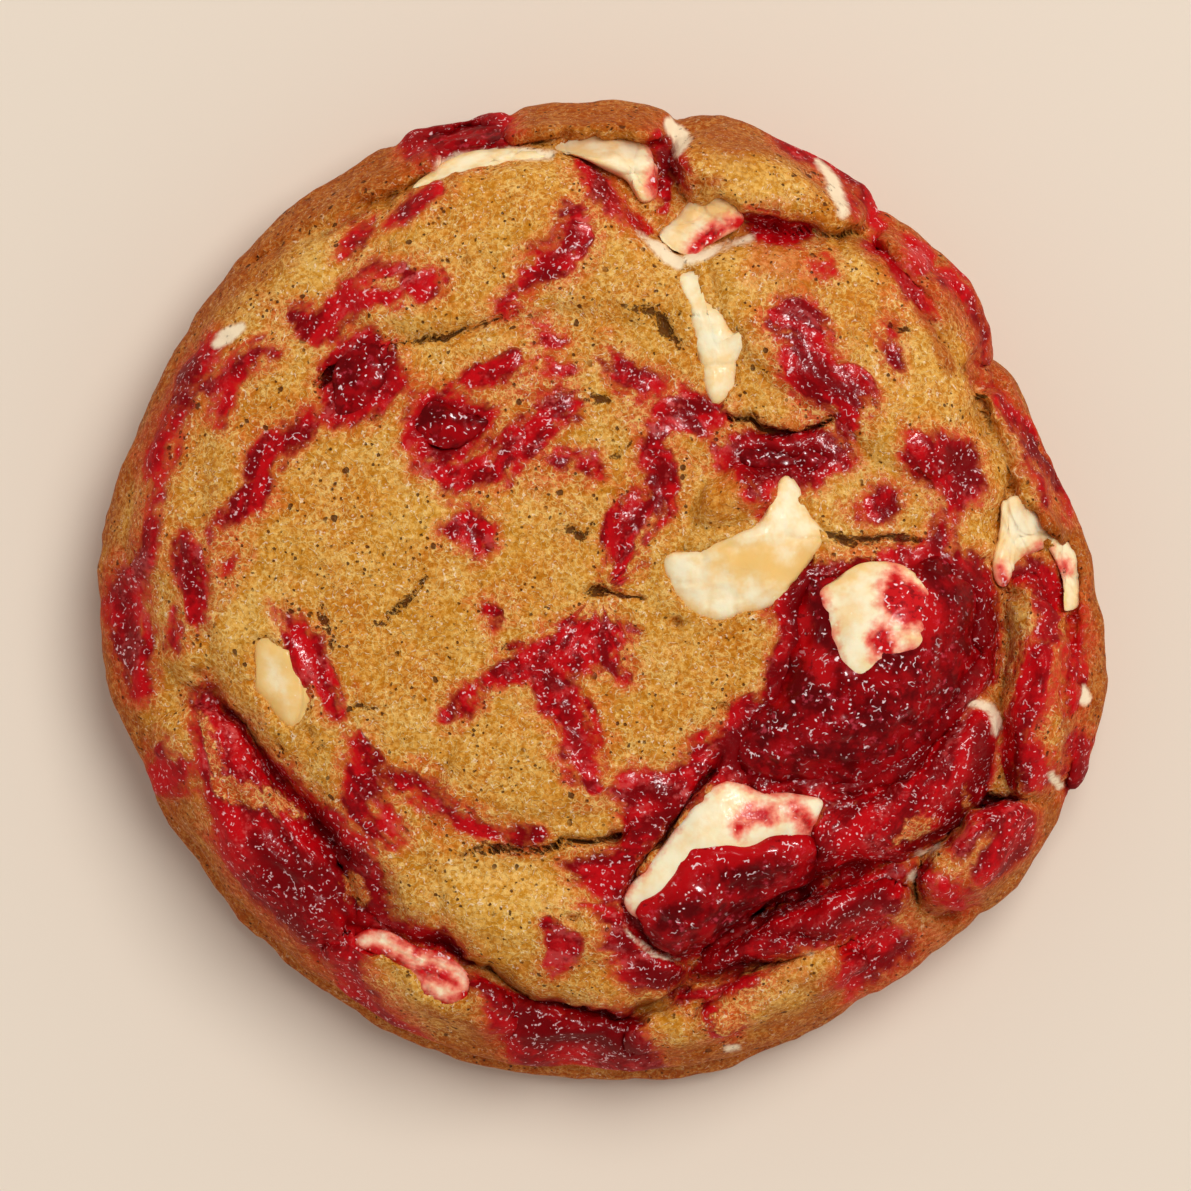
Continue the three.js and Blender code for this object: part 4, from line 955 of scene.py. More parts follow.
PIECES = (
    Piece("white_chocolate_far", Filling.IVORY, 6, 1.1, 1.6, (2.6, 42.6), (
        (5.6, 41.8), (4.9, 43.8), (3.4, 45.2), (1.1, 45.2), (-0.7, 46), (-3.8, 45.1), (-5.2, 44),
        (-2.3, 43), (0.3, 41.9), (2.6, 40.7), (3.9, 38.7), (5.1, 38.9)), flat=3, spread=3.6),
    Piece("white_chocolate_cube", Filling.IVORY, 6, 0.9, 1.2, (9.8, 36.5), (
        (5.6, 35.2), (6.7, 33.9), (8.8, 33.1), (10.8, 34.5), (14, 36.6), (13.2, 38.3), (11.3, 39.5),
        (9.6, 39.2), (7.6, 37.2)), flat=3.4, spread=3),
    Piece("white_chocolate_drip", Filling.IVORY, 5, 0.9, 1.3, (11.2, 24.2), (
        (14.4, 24.3), (14.9, 26.4), (13.2, 25.7), (11.9, 27.4), (10.1, 29.2), (9.3, 32), (7.6, 31.6),
        (8.4, 27.9), (9.2, 24.1), (10, 20.5), (11.1, 18.2), (13.1, 20), (13.5, 22.3)), flat=3),
    Piece("white_chocolate_left", Filling.IVORY, 5, 0.35, 0.7, (-31.9, -9.6), (
        (-28.7, -11), (-30, -8.2), (-31.5, -5.4), (-33.9, -4.4), (-35, -7.4), (-34.5, -10),
        (-33.2, -12), (-31.2, -14.1), (-29.9, -13.3)), border=2.4, flat=3),
    Piece("white_chocolate_centre", Filling.IVORY, 5, 0.7, 1.3, (15.5, 2), (
        (20, 1.6), (22.1, 5.4), (20.6, 7.4), (19.4, 10.8), (18.2, 11.5), (17, 9.6), (15.6, 6.8),
        (12, 5), (8.3, 3.9), (6.1, 3.3), (6.9, 0), (8.3, -1.9), (10.6, -3), (13.1, -2.8), (17, -1.4))),
    Piece("white_chocolate_mound", Filling.IVORY, 6, 2.3, 1.6, (26.6, -3), (
        (32.6, -2.6), (32, 0.2), (30.6, 1.8), (28.2, 2.7), (25.4, 2.6), (23.1, 1.2), (21.2, -0.6),
        (21.8, -3.8), (22.9, -6.8), (24.2, -9), (26.2, -9.9), (27.8, -8.3), (30.2, -7), (32.2, -5.2)),
        border=0.7, flat=2.6),
    Piece("white_chocolate_block", Filling.IVORY, 8, 1.6, 1.8, (12, -26.4), (
        (19.4, -27.6), (21.2, -23.4), (22, -20.7), (16.4, -20.1), (12, -18.8), (8, -22.7),
        (5.3, -26.2), (2.2, -30.6), (3.8, -32.6), (9, -33), (14.6, -31)),
        border=-0.3, red_edge=True, flat=2.8),
    Piece("white_chocolate_right", Filling.IVORY, 4, 0.8, 1.2, (41.2, 5.6), (
        (45, 5.9), (44, 7.8), (41.8, 9.2), (40, 8.8), (39.5, 6), (39.2, 1), (40, 0.4),
        (41, 2.2), (42.6, 3.5), (44.4, 4.4)), flat=2.8),
    Piece("white_chocolate_fold", Filling.IVORY, 3, 0.8, 1.2, (46.2, 2.6), (
        (47.7, 1.1), (47.4, 3.9), (45.9, 5.5), (43.9, 5.8), (45.1, 2.6), (45.9, 0), (46.1, -2.1),
        (47.4, -1.6)), flat=2.8),
    Piece("white_chocolate_near", Filling.IVORY, 4, 0.8, 1.2, (-17.6, -37.8), (
        (-13.1, -38.1), (-15.6, -36), (-18.1, -35.5), (-21.4, -33.9), (-23.6, -33.9),
        (-24.9, -35.1), (-21.8, -36.6), (-19, -38.5), (-17.6, -40.3), (-15.8, -41.3),
        (-12.6, -40.2)), border=0.5, red_edge=True, flat=2.6),
    Piece("white_chocolate_rim", Filling.IVORY, 3.4, 0.7, 1, (-10.6, 42.8), (
        (-4.6, 42.4), (-5.2, 43.7), (-9, 44), (-13, 43.7), (-16, 42.5), (-18.8, 39.9), (-15, 41.1),
        (-12.5, 41.9), (-8, 41.8))),
    Piece("raspberry_mound", Filling.FRUIT, 6, 1.6, 3, (26, -9), (
        (36.2, -10.5), (38.5, -6.4), (38.1, -2), (36.8, 1.7), (33, 3.4), (29.5, 2.2), (25, 1.5),
        (20.4, 1.9), (18.6, -1.2), (18.6, -5.6), (17.6, -10), (13.6, -13.4), (11.7, -16.9),
        (14.4, -19.1), (21, -19.4), (27.4, -19), (32.8, -15.6)), lap=1.0),
    Piece("raspberry_cover", Filling.FRUIT, 6, 3, 3, (12, -29.6), (
        (21.6, -28.8), (21.4, -24.6), (18.6, -23.9), (14.4, -24.9), (9.4, -24.8), (6.6, -27.8),
        (2.7, -31.9), (3.8, -33.9), (5.4, -35.3), (8, -36), (13, -33.8), (17.6, -31))),
    Piece("raspberry_centre", Filling.FRUIT, 3, 0.35, 0.6, (-15.2, 16.3), (
        (-11.2, 16.8), (-13.8, 17.6), (-15.3, 18.8), (-17.5, 18.6), (-18.8, 16.6), (-17, 14.1),
        (-15, 13.8), (-12.9, 15))),
    Piece("raspberry_rim", Filling.FRUIT, 3.4, 1, 1.6, (-14, 45.2), (
        (-9.8, 44.9), (-10.4, 46.6), (-14, 46.7), (-17, 46), (-18.8, 44.7), (-17.6, 43.8),
        (-12.5, 44))),
    Piece("raspberry_left", Filling.FRUIT, 3, 0.5, 0.8, (-24, 21), (
        (-21.5, 20.1), (-21.3, 23), (-22.7, 24.4), (-25, 23.7), (-26.4, 22), (-26.6, 19.4),
        (-26, 17.6), (-23, 18.3))),
    Piece("raspberry_pocket", Filling.FRUIT, 3, 0.3, 1, (17.8, 12.9), (
        (23.5, 13), (21.3, 14.4), (17.8, 14.1), (14.9, 14.7), (12.4, 13.3), (14.8, 11.9),
        (17.7, 11.5), (21.3, 11.6))),
)

# Red and golden stains on the white chocolate itself, and thin places of the fruit.
RED_ON_IVORY = strokes(
    ((15.2, -22.2, 0.6), (16.2, -22.2, 0.7)),
    ((21.6, -0.6, 0.3), (21.9, -4, 0.4), (23.2, -7.6, 0.5)),
    ((13.4, -23.5, 0.4), (13.8, -23.5, 0.4)),
    ((19, -21.6, 0.6), (20.6, -23.4, 0.9)),
    ((9.3, 33.8, 0.5), (11.1, 35.4, 0.6), (13.4, 36.1, 0.5), (14.4, 36.4, 0.4)),
    ((-22.7, -35.8, 0.4), (-20.1, -37.4, 0.5), (-16.8, -38.1, 0.4), (-14.6, -39, 0.3)),
    ((28.9, 1.6, 0.7), (29.6, -0.8, 1.9), (31.6, -2, 1.6), (33, -3.6, 0.6)),
    ((27.6, -3.6, 0.6), (27.8, -5.4, 1.1), (29.2, -6.6, 0.8), (31.6, -6.4, 0.5)),
    ((23, -9, 0.7), (26, -10.2, 0.6)),
    ((43.4, 2.8, 0.6), (43.8, 3.4, 0.6)),
    ((45.7, 2.3, 0.4), (46.1, 2.3, 0.4)),
    ((39.6, 1.6, 0.4), (40.4, 0.4, 0.8)),
    ((5.6, 44.4, 0.6), (6, 41.6, 0.8), (5.8, 39, 0.5)),
)
THIN_ON_FRUIT = strokes(
    ((19.2, -1, 0.6), (20, -5, 0.8), (21.8, -8.6, 0.5)),
    ((29.6, 1.6, 0.8), (31.6, -0.6, 1), (32.6, -3.4, 0.6)),
    ((3.6, -32, 0.9), (6.6, -28.4, 1.4), (9.4, -25.6, 1.6), (14.4, -25.6, 1.2), (19.6, -25.2, 1)),
)
FILM_ON_IVORY = strokes(
    ((12.4, 3.4, 1.4), (15.6, 2.6, 2), (18.6, 1.6, 2), (21, 4.2, 1.4)),
    ((10, 3.8, 0.8), (13, 4.4, 1)),
    ((7, 35, 0.8), (9, 37.6, 1), (12.6, 37.4, 0.8)),
)


# ------------------------------------------------------------------ the dough
@dataclass
class DoughBody:
    """The baked dough: a square grid laid on the disc for the top, then rings for wall and base."""

    form: CookieForm
    lattice: Lattice
    cells: int = 256
    base_shares: tuple[float, ...] = (0.86, 0.6, 0.3)
    warp: tuple[tuple[float, float], ...] = ((7.0, 0.75), (2.6, 0.4), (1.1, 0.35))
    pocket_drop: float = 1.0
    juice: float = 1.3
    lip_height: float = 0.5
    lip_width: float = 1.1
    axis_shift: float = 31.0
    drain: float = 5.0
    fold_rise: tuple[float, float, float] = (0.22, 0.24, 0.42)

    def disc(self) -> tuple[Array, Array]:
        """Lay the square grid on the disc.

        A place on the square at distance t from the middle, by its larger coordinate, goes to
        radius t, at a bearing that grows evenly along the square's side.

        Returns:
            The radius from 0 to 1 and the bearing in degrees, row by row.
        """
        side = np.linspace(-1.0, 1.0, self.cells + 1)
        a, b = (grid.ravel() for grid in np.meshgrid(side, side))
        wide = np.abs(a) > np.abs(b)
        with np.errstate(divide="ignore", invalid="ignore"):
            slant = np.where(wide, np.divide(b, a), -np.divide(a, b))
        slant = np.nan_to_num(slant, nan=0.0, posinf=0.0, neginf=0.0)
        corner = np.where(wide, np.where(a > 0, 0.0, 180.0), np.where(b > 0, 90.0, -90.0))
        return np.maximum(np.abs(a), np.abs(b)), corner + 45.0 * slant

    def even_share(self, radius: Array) -> Array:
        """Share of the outline's radius at even steps along the dome's section.

        Args:
            radius: Steps along the section, from 0 to 1.

        Returns:
            One share for each step.
        """
        shares = np.sin(np.linspace(0.0, 0.5 * math.pi, 241))
        along = np.diff(shares) * self.form.mean_radius
        length = np.concatenate([[0.0], np.cumsum(np.hypot(along, np.diff(self.form.dome(shares))))])
        return np.interp(radius * length[-1], length, shares)

    def border(self) -> Array:
        """Indices of the grid's border, anticlockwise from its near left corner.

        Returns:
            One index for each place.
        """
        n, row = self.cells, self.cells + 1
        side = np.arange(n)
        return np.concatenate([side, side * row + n, n * row + n - side, (n - side) * row])

    def grid_faces(self) -> Array:
        """Quads of the top's grid, facing up.

        Returns:
            Rows of four indices.
        """
        row = self.cells + 1
        i, j = np.meshgrid(np.arange(self.cells), np.arange(self.cells))
        a = (j * row + i).ravel()
        return np.stack([a, a + 1, a + row + 1, a + row], axis=-1)

    def warped(self, plan: Array) -> Array:
        """Places moved sideways by noise, so that lobes and cracks get uneven edges.

        Args:
            plan: Rows of x, y.

        Returns:
            The moved rows.
        """
        place = np.column_stack([plan, np.zeros(len(plan))])
        moved = plan.copy()
        for wavelength, reach in self.warp:
            for axis in range(2):
                moved[:, axis] += reach * self.lattice.at(place + self.axis_shift * axis, wavelength)
        return moved

    def sunk(self, plan: Array, height: Array) -> Array:
        """Lower the dough under each embedded piece, and raise a lip round the chocolate.

        Args:
            plan: Rows of x, y.
            height: The dough's height at each row.

        Returns:
            The new heights.
        """
        ragged = 0.6 * self.lattice.at(np.column_stack([plan, np.zeros(len(plan))]), 1.5)
        for piece in PIECES:
            inward = piece.mark.inward(plan, 4.0) + ragged
            near = inward > -3.0
            rim = self.form.rest(plan[near], piece.spread) + piece.proud - piece.edge
            under = rim - self.pocket_drop
            inside = smooth_step(piece.lap, piece.lap + 0.6, inward[near])
            if piece.filling is Filling.IVORY:
                bump = self.lip_height * np.exp(-((inward[near] / self.lip_width) ** 2))
                height[near] += bump * (inward[near] < 0.0)
            height[near] += inside * (np.minimum(height[near], under) - height[near])
        return height

    def cut(self, plan: Array, height: Array) -> Array:
        """Cut the cracks and small holes into the top.

        Args:
            plan: Rows of x, y.
            height: The dough's height at each row.

        Returns:
            The new heights.
        """
        for groove in CREASES + GROOVES:
            height -= groove.cut(plan)
        for x, y, radius, depth in PITS:
            distance = np.hypot(plan[:, 0] - x, plan[:, 1] - y)
            height -= depth * smooth_step(radius, 0.3 * radius, distance)
        return height

    def top(self) -> Array:
        """Corners of the top: the dome with its lobes, cracks, holes and pockets.

        Returns:
            Rows of x, y, z in the grid's order.
        """
        t, bearing = self.disc()
        share = self.even_share(t)
        inset = self.form.foot(bearing) * self.form.foot_reach + self.form.notch(bearing)
        radius = share * self.form.radius(bearing) - inset * smooth_step(self.form.notch_start, 1.0, share)
        turn = np.radians(bearing)
        plan = np.column_stack([radius * np.cos(turn), radius * np.sin(turn)])
        warped = self.warped(plan)
        inside = 1.0 - smooth_step(*self.form.rim_fade, share)
        height = self.form.dome(share) + self.form.rise(warped) * inside
        height = self.cut(warped, height)
        return np.column_stack([plan, self.sunk(plan, height)])

    def wall(self, rim: Array) -> Array:
        """Rings of the wall and the base under the rim, each in from the outline by its inset.

        Args:
            rim: Corners of the top's border.

        Returns:
            Rows of x, y, z, ring by ring.
        """
        bearing = np.degrees(np.arctan2(rim[:, 1], rim[:, 0]))
        profile = smooth_path(self.form.wall, False)[1:]
        height, inset, foot = (column[:, None] for column in profile.T)
        radius = self.form.radius(bearing) - self.form.notch(bearing) * height / self.form.equator
        radius = radius - inset - foot * self.form.foot(bearing)
        for share in self.base_shares:
            radius = np.vstack([radius, share * radius[len(profile) - 1]])
        turn = np.radians(bearing)
        levels = np.concatenate([np.maximum(height[:, 0], 0.0), np.zeros(len(self.base_shares))])
        heights = np.repeat(levels[:, None], len(rim), axis=1)
        rings = np.stack([radius * np.cos(turn), radius * np.sin(turn), heights], axis=-1)
        return rings.reshape(-1, 3)

    def relief(self, corners: Array, wet: Array) -> Array:
        """How far the crust moves along its normals.

        Soft lumps are layered noise. Where the dough is red and wet it also has folds: ridges
        that run round the cookie, as noise of the bearing and of the radius.

        Args:
            corners: The surface before its relief.
            wet: From 0 on dry dough to 1 on red dough.

        Returns:
            A distance for each corner.
        """
        reach = np.hypot(corners[:, 0], corners[:, 1])
        ridges = 1.0 - np.abs(self.lattice.layered(self.flow(corners), 2.4, 2)) * 1.6
        lumps = 0.3 * self.lattice.at(corners, 6.5) + 0.18 * self.lattice.layered(corners, 2.2, 2)
        rim = smooth_step(32.0, 44.0, reach)
        wet_rise, rim_rise, both_rise = self.fold_rise
        return lumps + ridges * (wet_rise * wet + rim_rise * rim + both_rise * wet * rim)

    def flow(self, corners: Array) -> Array:
        """Coordinates that follow the folds: ten times the bearing's cosine and sine, and the reach.

        A pattern on them is as wide in the radius as its wavelength, and drawn out round the
        cookie by a tenth of the radius.

        Args:
            corners: Rows of x, y, z.

        Returns:
            Rows of the three coordinates.
        """
        reach = np.hypot(corners[:, 0], corners[:, 1])
        around = corners[:, :2] / np.maximum(reach, 1.0)[:, None]
        return np.column_stack([10.0 * around, reach + 0.6 * corners[:, 2]])

    def shell(self) -> Shell:
        """The whole dough as one closed shell with its fields.

        Returns:
            The shell.
        """
        top = self.top()
        border = self.border()
        wall = self.wall(top[border])
        corners = np.vstack([top, wall, [[0.0, 0.0, 0.0]]])
        sides = len(border)
        rings = len(wall) // sides
        first_ring = len(top) + np.arange(sides)
        last_ring = len(top) + (rings - 1) * sides + np.arange(sides)
        joint = np.stack([border, first_ring, np.roll(first_ring, -1), np.roll(border, -1)], axis=-1)
        faces = np.vstack([
            self.grid_faces(),
            joint,
            band_faces(rings, sides, len(top)),
            fan_faces(len(corners) - 1, last_ring, upward=False),
        ])
        shell = Shell(corners, faces)
        shell.fields = self.fields(corners)
        level = smooth_step(0.0, 2.0, corners[:, 2])
        wet = smooth_step(-0.5, 1.5, shell.fields["jam"])
        shell.corners = corners + shell.normals() * (self.relief(corners, wet) * level)[:, None]
        shell.fields["upward"] = shell.normals()[:, 2]
        return shell

    def fields(self, corners: Array) -> dict[str, Array]:
        """Distances in millimetres from the edges of the stains, and the browning of the crust.

        Args:
            corners: Rows of x, y, z.

        Returns:
            An array for each field's name.
        """
        plan = corners[:, :2]
        share = self.form.share(plan)
        low = smooth_step(self.form.equator + 1.0, 2.0, corners[:, 2])
        side = smooth_step(0.84, 0.99, share + 0.05 * self.lattice.layered(corners, 7.0, 2))
        brown = np.maximum(smooth_step(-1.4, 1.2, deepest(BROWN, plan)), 0.9 * side)
        blotches = np.maximum(1.0 + self.lattice.layered(corners, 5.0, 2), 0.3)
        drained = self.drain * blotches * smooth_step(self.form.equator + 1.5, 3.5, corners[:, 2])
        folds = self.lattice.layered(self.flow(corners), 2.2, 2)
        fruit = deepest(tuple(piece.mark for piece in PIECES if piece.filling is Filling.FRUIT), plan)
        jam = np.maximum(deepest(RED, plan, streaks=self.lattice), fruit + self.juice)
        return {
            "flow": self.flow(corners),
            "jam": jam + 0.35 * folds - drained,
            "thick": np.maximum(deepest(THICK, plan, streaks=self.lattice), fruit + 0.2) + 0.5 * folds,
            # Only used to paint shade onto the floors of the creases.
            "crease": deepest(tuple(groove.mark for groove in CREASES), self.warped(plan), 2.0),
            "blush": deepest(BLUSH, plan),
            "gold": deepest(GOLD, plan),
            "ivory": deepest(IVORY_STREAKS, plan) - drained,
            # Only used to paint shade into the cracks.
            "crack": deepest(tuple(groove.mark for groove in GROOVES), self.warped(plan), 2.0) - 0.02,
            "brown": np.maximum(brown, low),
            "pale": smooth_step(-2.5, 1.5, deepest(PALE, plan)),
            "honey": smooth_step(-1.4, 1.2, deepest(HONEY, plan)),
            "glaze": 0.75 * smooth_step(-1.0, 0.8, deepest(GLAZED, plan)),
        }

    def build(self, material: bpy.types.Material) -> bpy.types.Object:
        """Make the dough and let it stand for its node.

        Args:
            material: Its finish.

        Returns:
            The object.
        """
        piece = self.shell().make("baked_dough", material)
        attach(piece, "root")
        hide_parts("cookie_dough")
        return piece


# ------------------------------------------------------------------ finishes
Socket = bpy.types.NodeSocket


def linear(red: int, green: int, blue: int) -> tuple[float, float, float, float]:
    """Turn a colour's display values from 0 to 255 into the linear colour that a shader takes.

    Args:
        red: How red it is.
        green: How green it is.
        blue: How blue it is.

    Returns:
        Red, green, blue and 1.
    """
    parts = np.array([red, green, blue]) / 255.0
    bright = np.where(parts <= 0.04045, parts / 12.92, ((parts + 0.055) / 1.055) ** 2.4)
    return (*(float(part) for part in bright), 1.0)


class Graph:
    """The nodes of one material, each method adding one and returning its output."""

    def __init__(self, name: str) -> None:
        """Start a material whose patterns are in millimetres of the object's own coordinates.

        Args:
            name: The material's name.
        """
        self.material = bpy.data.materials.new(name)
        self.material.use_nodes = True
        self.tree = self.material.node_tree
        self.shader = self.tree.nodes["Principled BSDF"]
        coordinates = self.add("ShaderNodeTexCoord")
        mapping = self.add("ShaderNodeMapping")
        mapping.inputs["Scale"].default_value = (1.0 / METRES,) * 3
        self.link(coordinates.outputs["Object"], mapping.inputs["Vector"])
        self.place = mapping.outputs["Vector"]

    def add(self, kind: str) -> bpy.types.Node:
        """Add a node of a kind."""
        return self.tree.nodes.new(kind)

    def link(self, source: Socket, target: Socket) -> None:
        """Join an output to an input."""
        self.tree.links.new(source, target)

    def feed(self, target: Socket, value: Socket | float | tuple[float, ...]) -> None:
        """Join an input to an output, or set it to a plain value.

        Args:
            target: The input.
            value: The output, or the number or colour.
        """
        if isinstance(value, bpy.types.NodeSocket):
            self.link(value, target)
        else:
            target.default_value = value

    def attribute(self, name: str) -> Socket:
        """Read one of the mesh's fields.

        Args:
            name: The field's name.

        Returns:
            Its number.
        """
        node = self.add("ShaderNodeAttribute")
        node.attribute_name = name
        return node.outputs["Fac"]

    def direction(self, name: str) -> Socket:
        """Read one of the mesh's fields of three numbers.

        Args:
            name: The field's name.

        Returns:
            Its three numbers.
        """
        node = self.add("ShaderNodeAttribute")
        node.attribute_name = name
        return node.outputs["Vector"]

    def noise(
        self, wavelength: float, detail: float = 3.0, roughness: float = 0.55, place: Socket | None = None
    ) -> Socket:
        """Soft noise from 0 to 1 with features of a wavelength in millimetres.

        Args:
            wavelength: Length of a feature.
            detail: How many finer layers it has.
            roughness: How strong each finer layer is.
            place: Coordinates to read in place of the object's own.

        Returns:
            The noise.
        """
        node = self.add("ShaderNodeTexNoise")
        self.link(place or self.place, node.inputs["Vector"])
        node.inputs["Scale"].default_value = 1.0 / wavelength
        node.inputs["Detail"].default_value = detail
        node.inputs["Roughness"].default_value = roughness
        return node.outputs["Fac"]

    def cells(self, size: float, feature: str = "F1") -> Socket:
        """Cells of a size in millimetres: the distance to a cell's middle or to its edge.

        Args:
            size: Width of a cell.
            feature: F1 for the middle, DISTANCE_TO_EDGE for the edge.

        Returns:
            The distance.
        """
        node = self.add("ShaderNodeTexVoronoi")
        node.feature = feature
        self.link(self.place, node.inputs["Vector"])
        node.inputs["Scale"].default_value = 1.0 / size
        return node.outputs["Distance"]

    def threads(self, wavelength: float, width: float) -> Socket:
        """Thin curling threads: 1 where noise of a wavelength is near its middle value."""
        away = self.math("ABSOLUTE", self.math("SUBTRACT", self.noise(wavelength, 1.0), 0.5))
        return self.step(away, width, 0.0)

    def curls(self, wavelength: float, share: float) -> Socket:
        """Short bright curls: thin threads, kept where fine noise is over a share."""
        kept = self.step(self.noise(0.8 * wavelength, 2.0), share, share + 0.05)
        return self.math("MULTIPLY", self.threads(wavelength, 0.05), kept)

    def dots(self, size: float, radius: float, share: float) -> Socket:
        """Small uneven dots, one to a cell of a size, in clusters where slow noise is over a share.

        Args:
            size: Width of a cell.
            radius: Radius of a dot, as a share of the cell.
            share: The noise past which dots show.

        Returns:
            1 in a dot and 0 beside it.
        """
        distance = self.weighted((self.cells(size), 1.0), (self.noise(0.4 * size, 1.0), 0.5))
        middle = self.step(self.math("SUBTRACT", distance, 0.25), radius, 0.5 * radius)
        clusters = self.step(self.noise(3.4 * size, 2.0), share - 0.03, share + 0.05)
        return self.math("MULTIPLY", middle, clusters)

    def math(self, operation: str, first: Socket | float, second: Socket | float = 0.0) -> Socket:
        """Combine two numbers.

        Args:
            operation: How, in the node's own words.
            first: The first number.
            second: The second number.

        Returns:
            The result.
        """
        node = self.add("ShaderNodeMath")
        node.operation = operation
        self.feed(node.inputs[0], first)
        self.feed(node.inputs[1], second)
        return node.outputs[0]

    def weighted(self, *terms: tuple[Socket, float]) -> Socket:
        """Sum outputs times their weights.

        Args:
            terms: Each output with its weight.

        Returns:
            The sum.
        """
        total: Socket | float = 0.0
        for source, weight in terms:
            node = self.add("ShaderNodeMath")
            node.operation = "MULTIPLY_ADD"
            self.link(source, node.inputs[0])
            node.inputs[1].default_value = weight
            self.feed(node.inputs[2], total)
            total = node.outputs[0]
        return total

    def step(
        self, value: Socket, low: float, high: float, start: float = 0.0, end: float = 1.0
    ) -> Socket:
        """Step smoothly from start at low to end at high.

        Args:
            value: The number to step.
            low: Where the step starts.
            high: Where it ends.
            start: The result at low.
            end: The result at high.

        Returns:
            The stepped number.
        """
        node = self.add("ShaderNodeMapRange")
        node.interpolation_type = "SMOOTHSTEP"
        self.link(value, node.inputs["Value"])
        ends = {"From Min": low, "From Max": high, "To Min": start, "To Max": end}
        for key, number in ends.items():
            node.inputs[key].default_value = number
        return node.outputs["Result"]

    def blend(
        self, share: Socket, first: Socket | tuple, second: Socket | tuple, mode: str = "MIX"
    ) -> Socket:
        """Blend two colours by a share.

        Args:
            share: 0 for the first colour and 1 for the second.
            first: The first colour.
            second: The second colour.
            mode: How they are blended.

        Returns:
            The colour.
        """
        node = self.add("ShaderNodeMix")
        node.data_type = "RGBA"
        node.blend_type = mode
        self.link(share, node.inputs[0])
        self.feed(node.inputs[6], first)
        self.feed(node.inputs[7], second)
        return node.outputs[2]

    def scaled(self, colour: Socket, amount: Socket) -> Socket:
        """Brighten or darken a colour by an amount round 1.

        Args:
            colour: The colour.
            amount: The amount.

        Returns:
            The colour.
        """
        node = self.add("ShaderNodeVectorMath")
        node.operation = "SCALE"
        self.link(colour, node.inputs[0])
        self.link(amount, node.inputs["Scale"])
        return node.outputs[0]

    def bump(self, height: Socket, distance: float) -> Socket:
        """Turn a height into a normal. The height's full range is a distance in millimetres.

        Args:
            height: The height, from 0 to 1.
            distance: How high 1 is.

        Returns:
            The normal.
        """
        node = self.add("ShaderNodeBump")
        node.inputs["Strength"].default_value = 1.0
        node.inputs["Distance"].default_value = distance * METRES
        self.link(height, node.inputs["Height"])
        return node.outputs["Normal"]

    def finish(
        self, colour: Socket, roughness: float, normal: Socket, coat: Socket | float, **plain: float
    ) -> bpy.types.Material:
        """Join colour and normal to the shader, and set its plain sockets.

        Args:
            colour: The base colour.
            roughness: Roughness under the coat.
            normal: The bumped normal, of the coat too.
            coat: How much wet coat there is, from 0 to 1.
            plain: Other sockets, each with its number, with _ for a space in the name.

        Returns:
            The material.
        """
        self.link(colour, self.shader.inputs["Base Color"])
        self.shader.inputs["Roughness"].default_value = roughness
        self.feed(self.shader.inputs["Coat Weight"], coat)
        self.link(normal, self.shader.inputs["Normal"])
        self.link(normal, self.shader.inputs["Coat Normal"])
        for key, number in plain.items():
            self.shader.inputs[key.replace("_", " ")].default_value = number
        return self.material


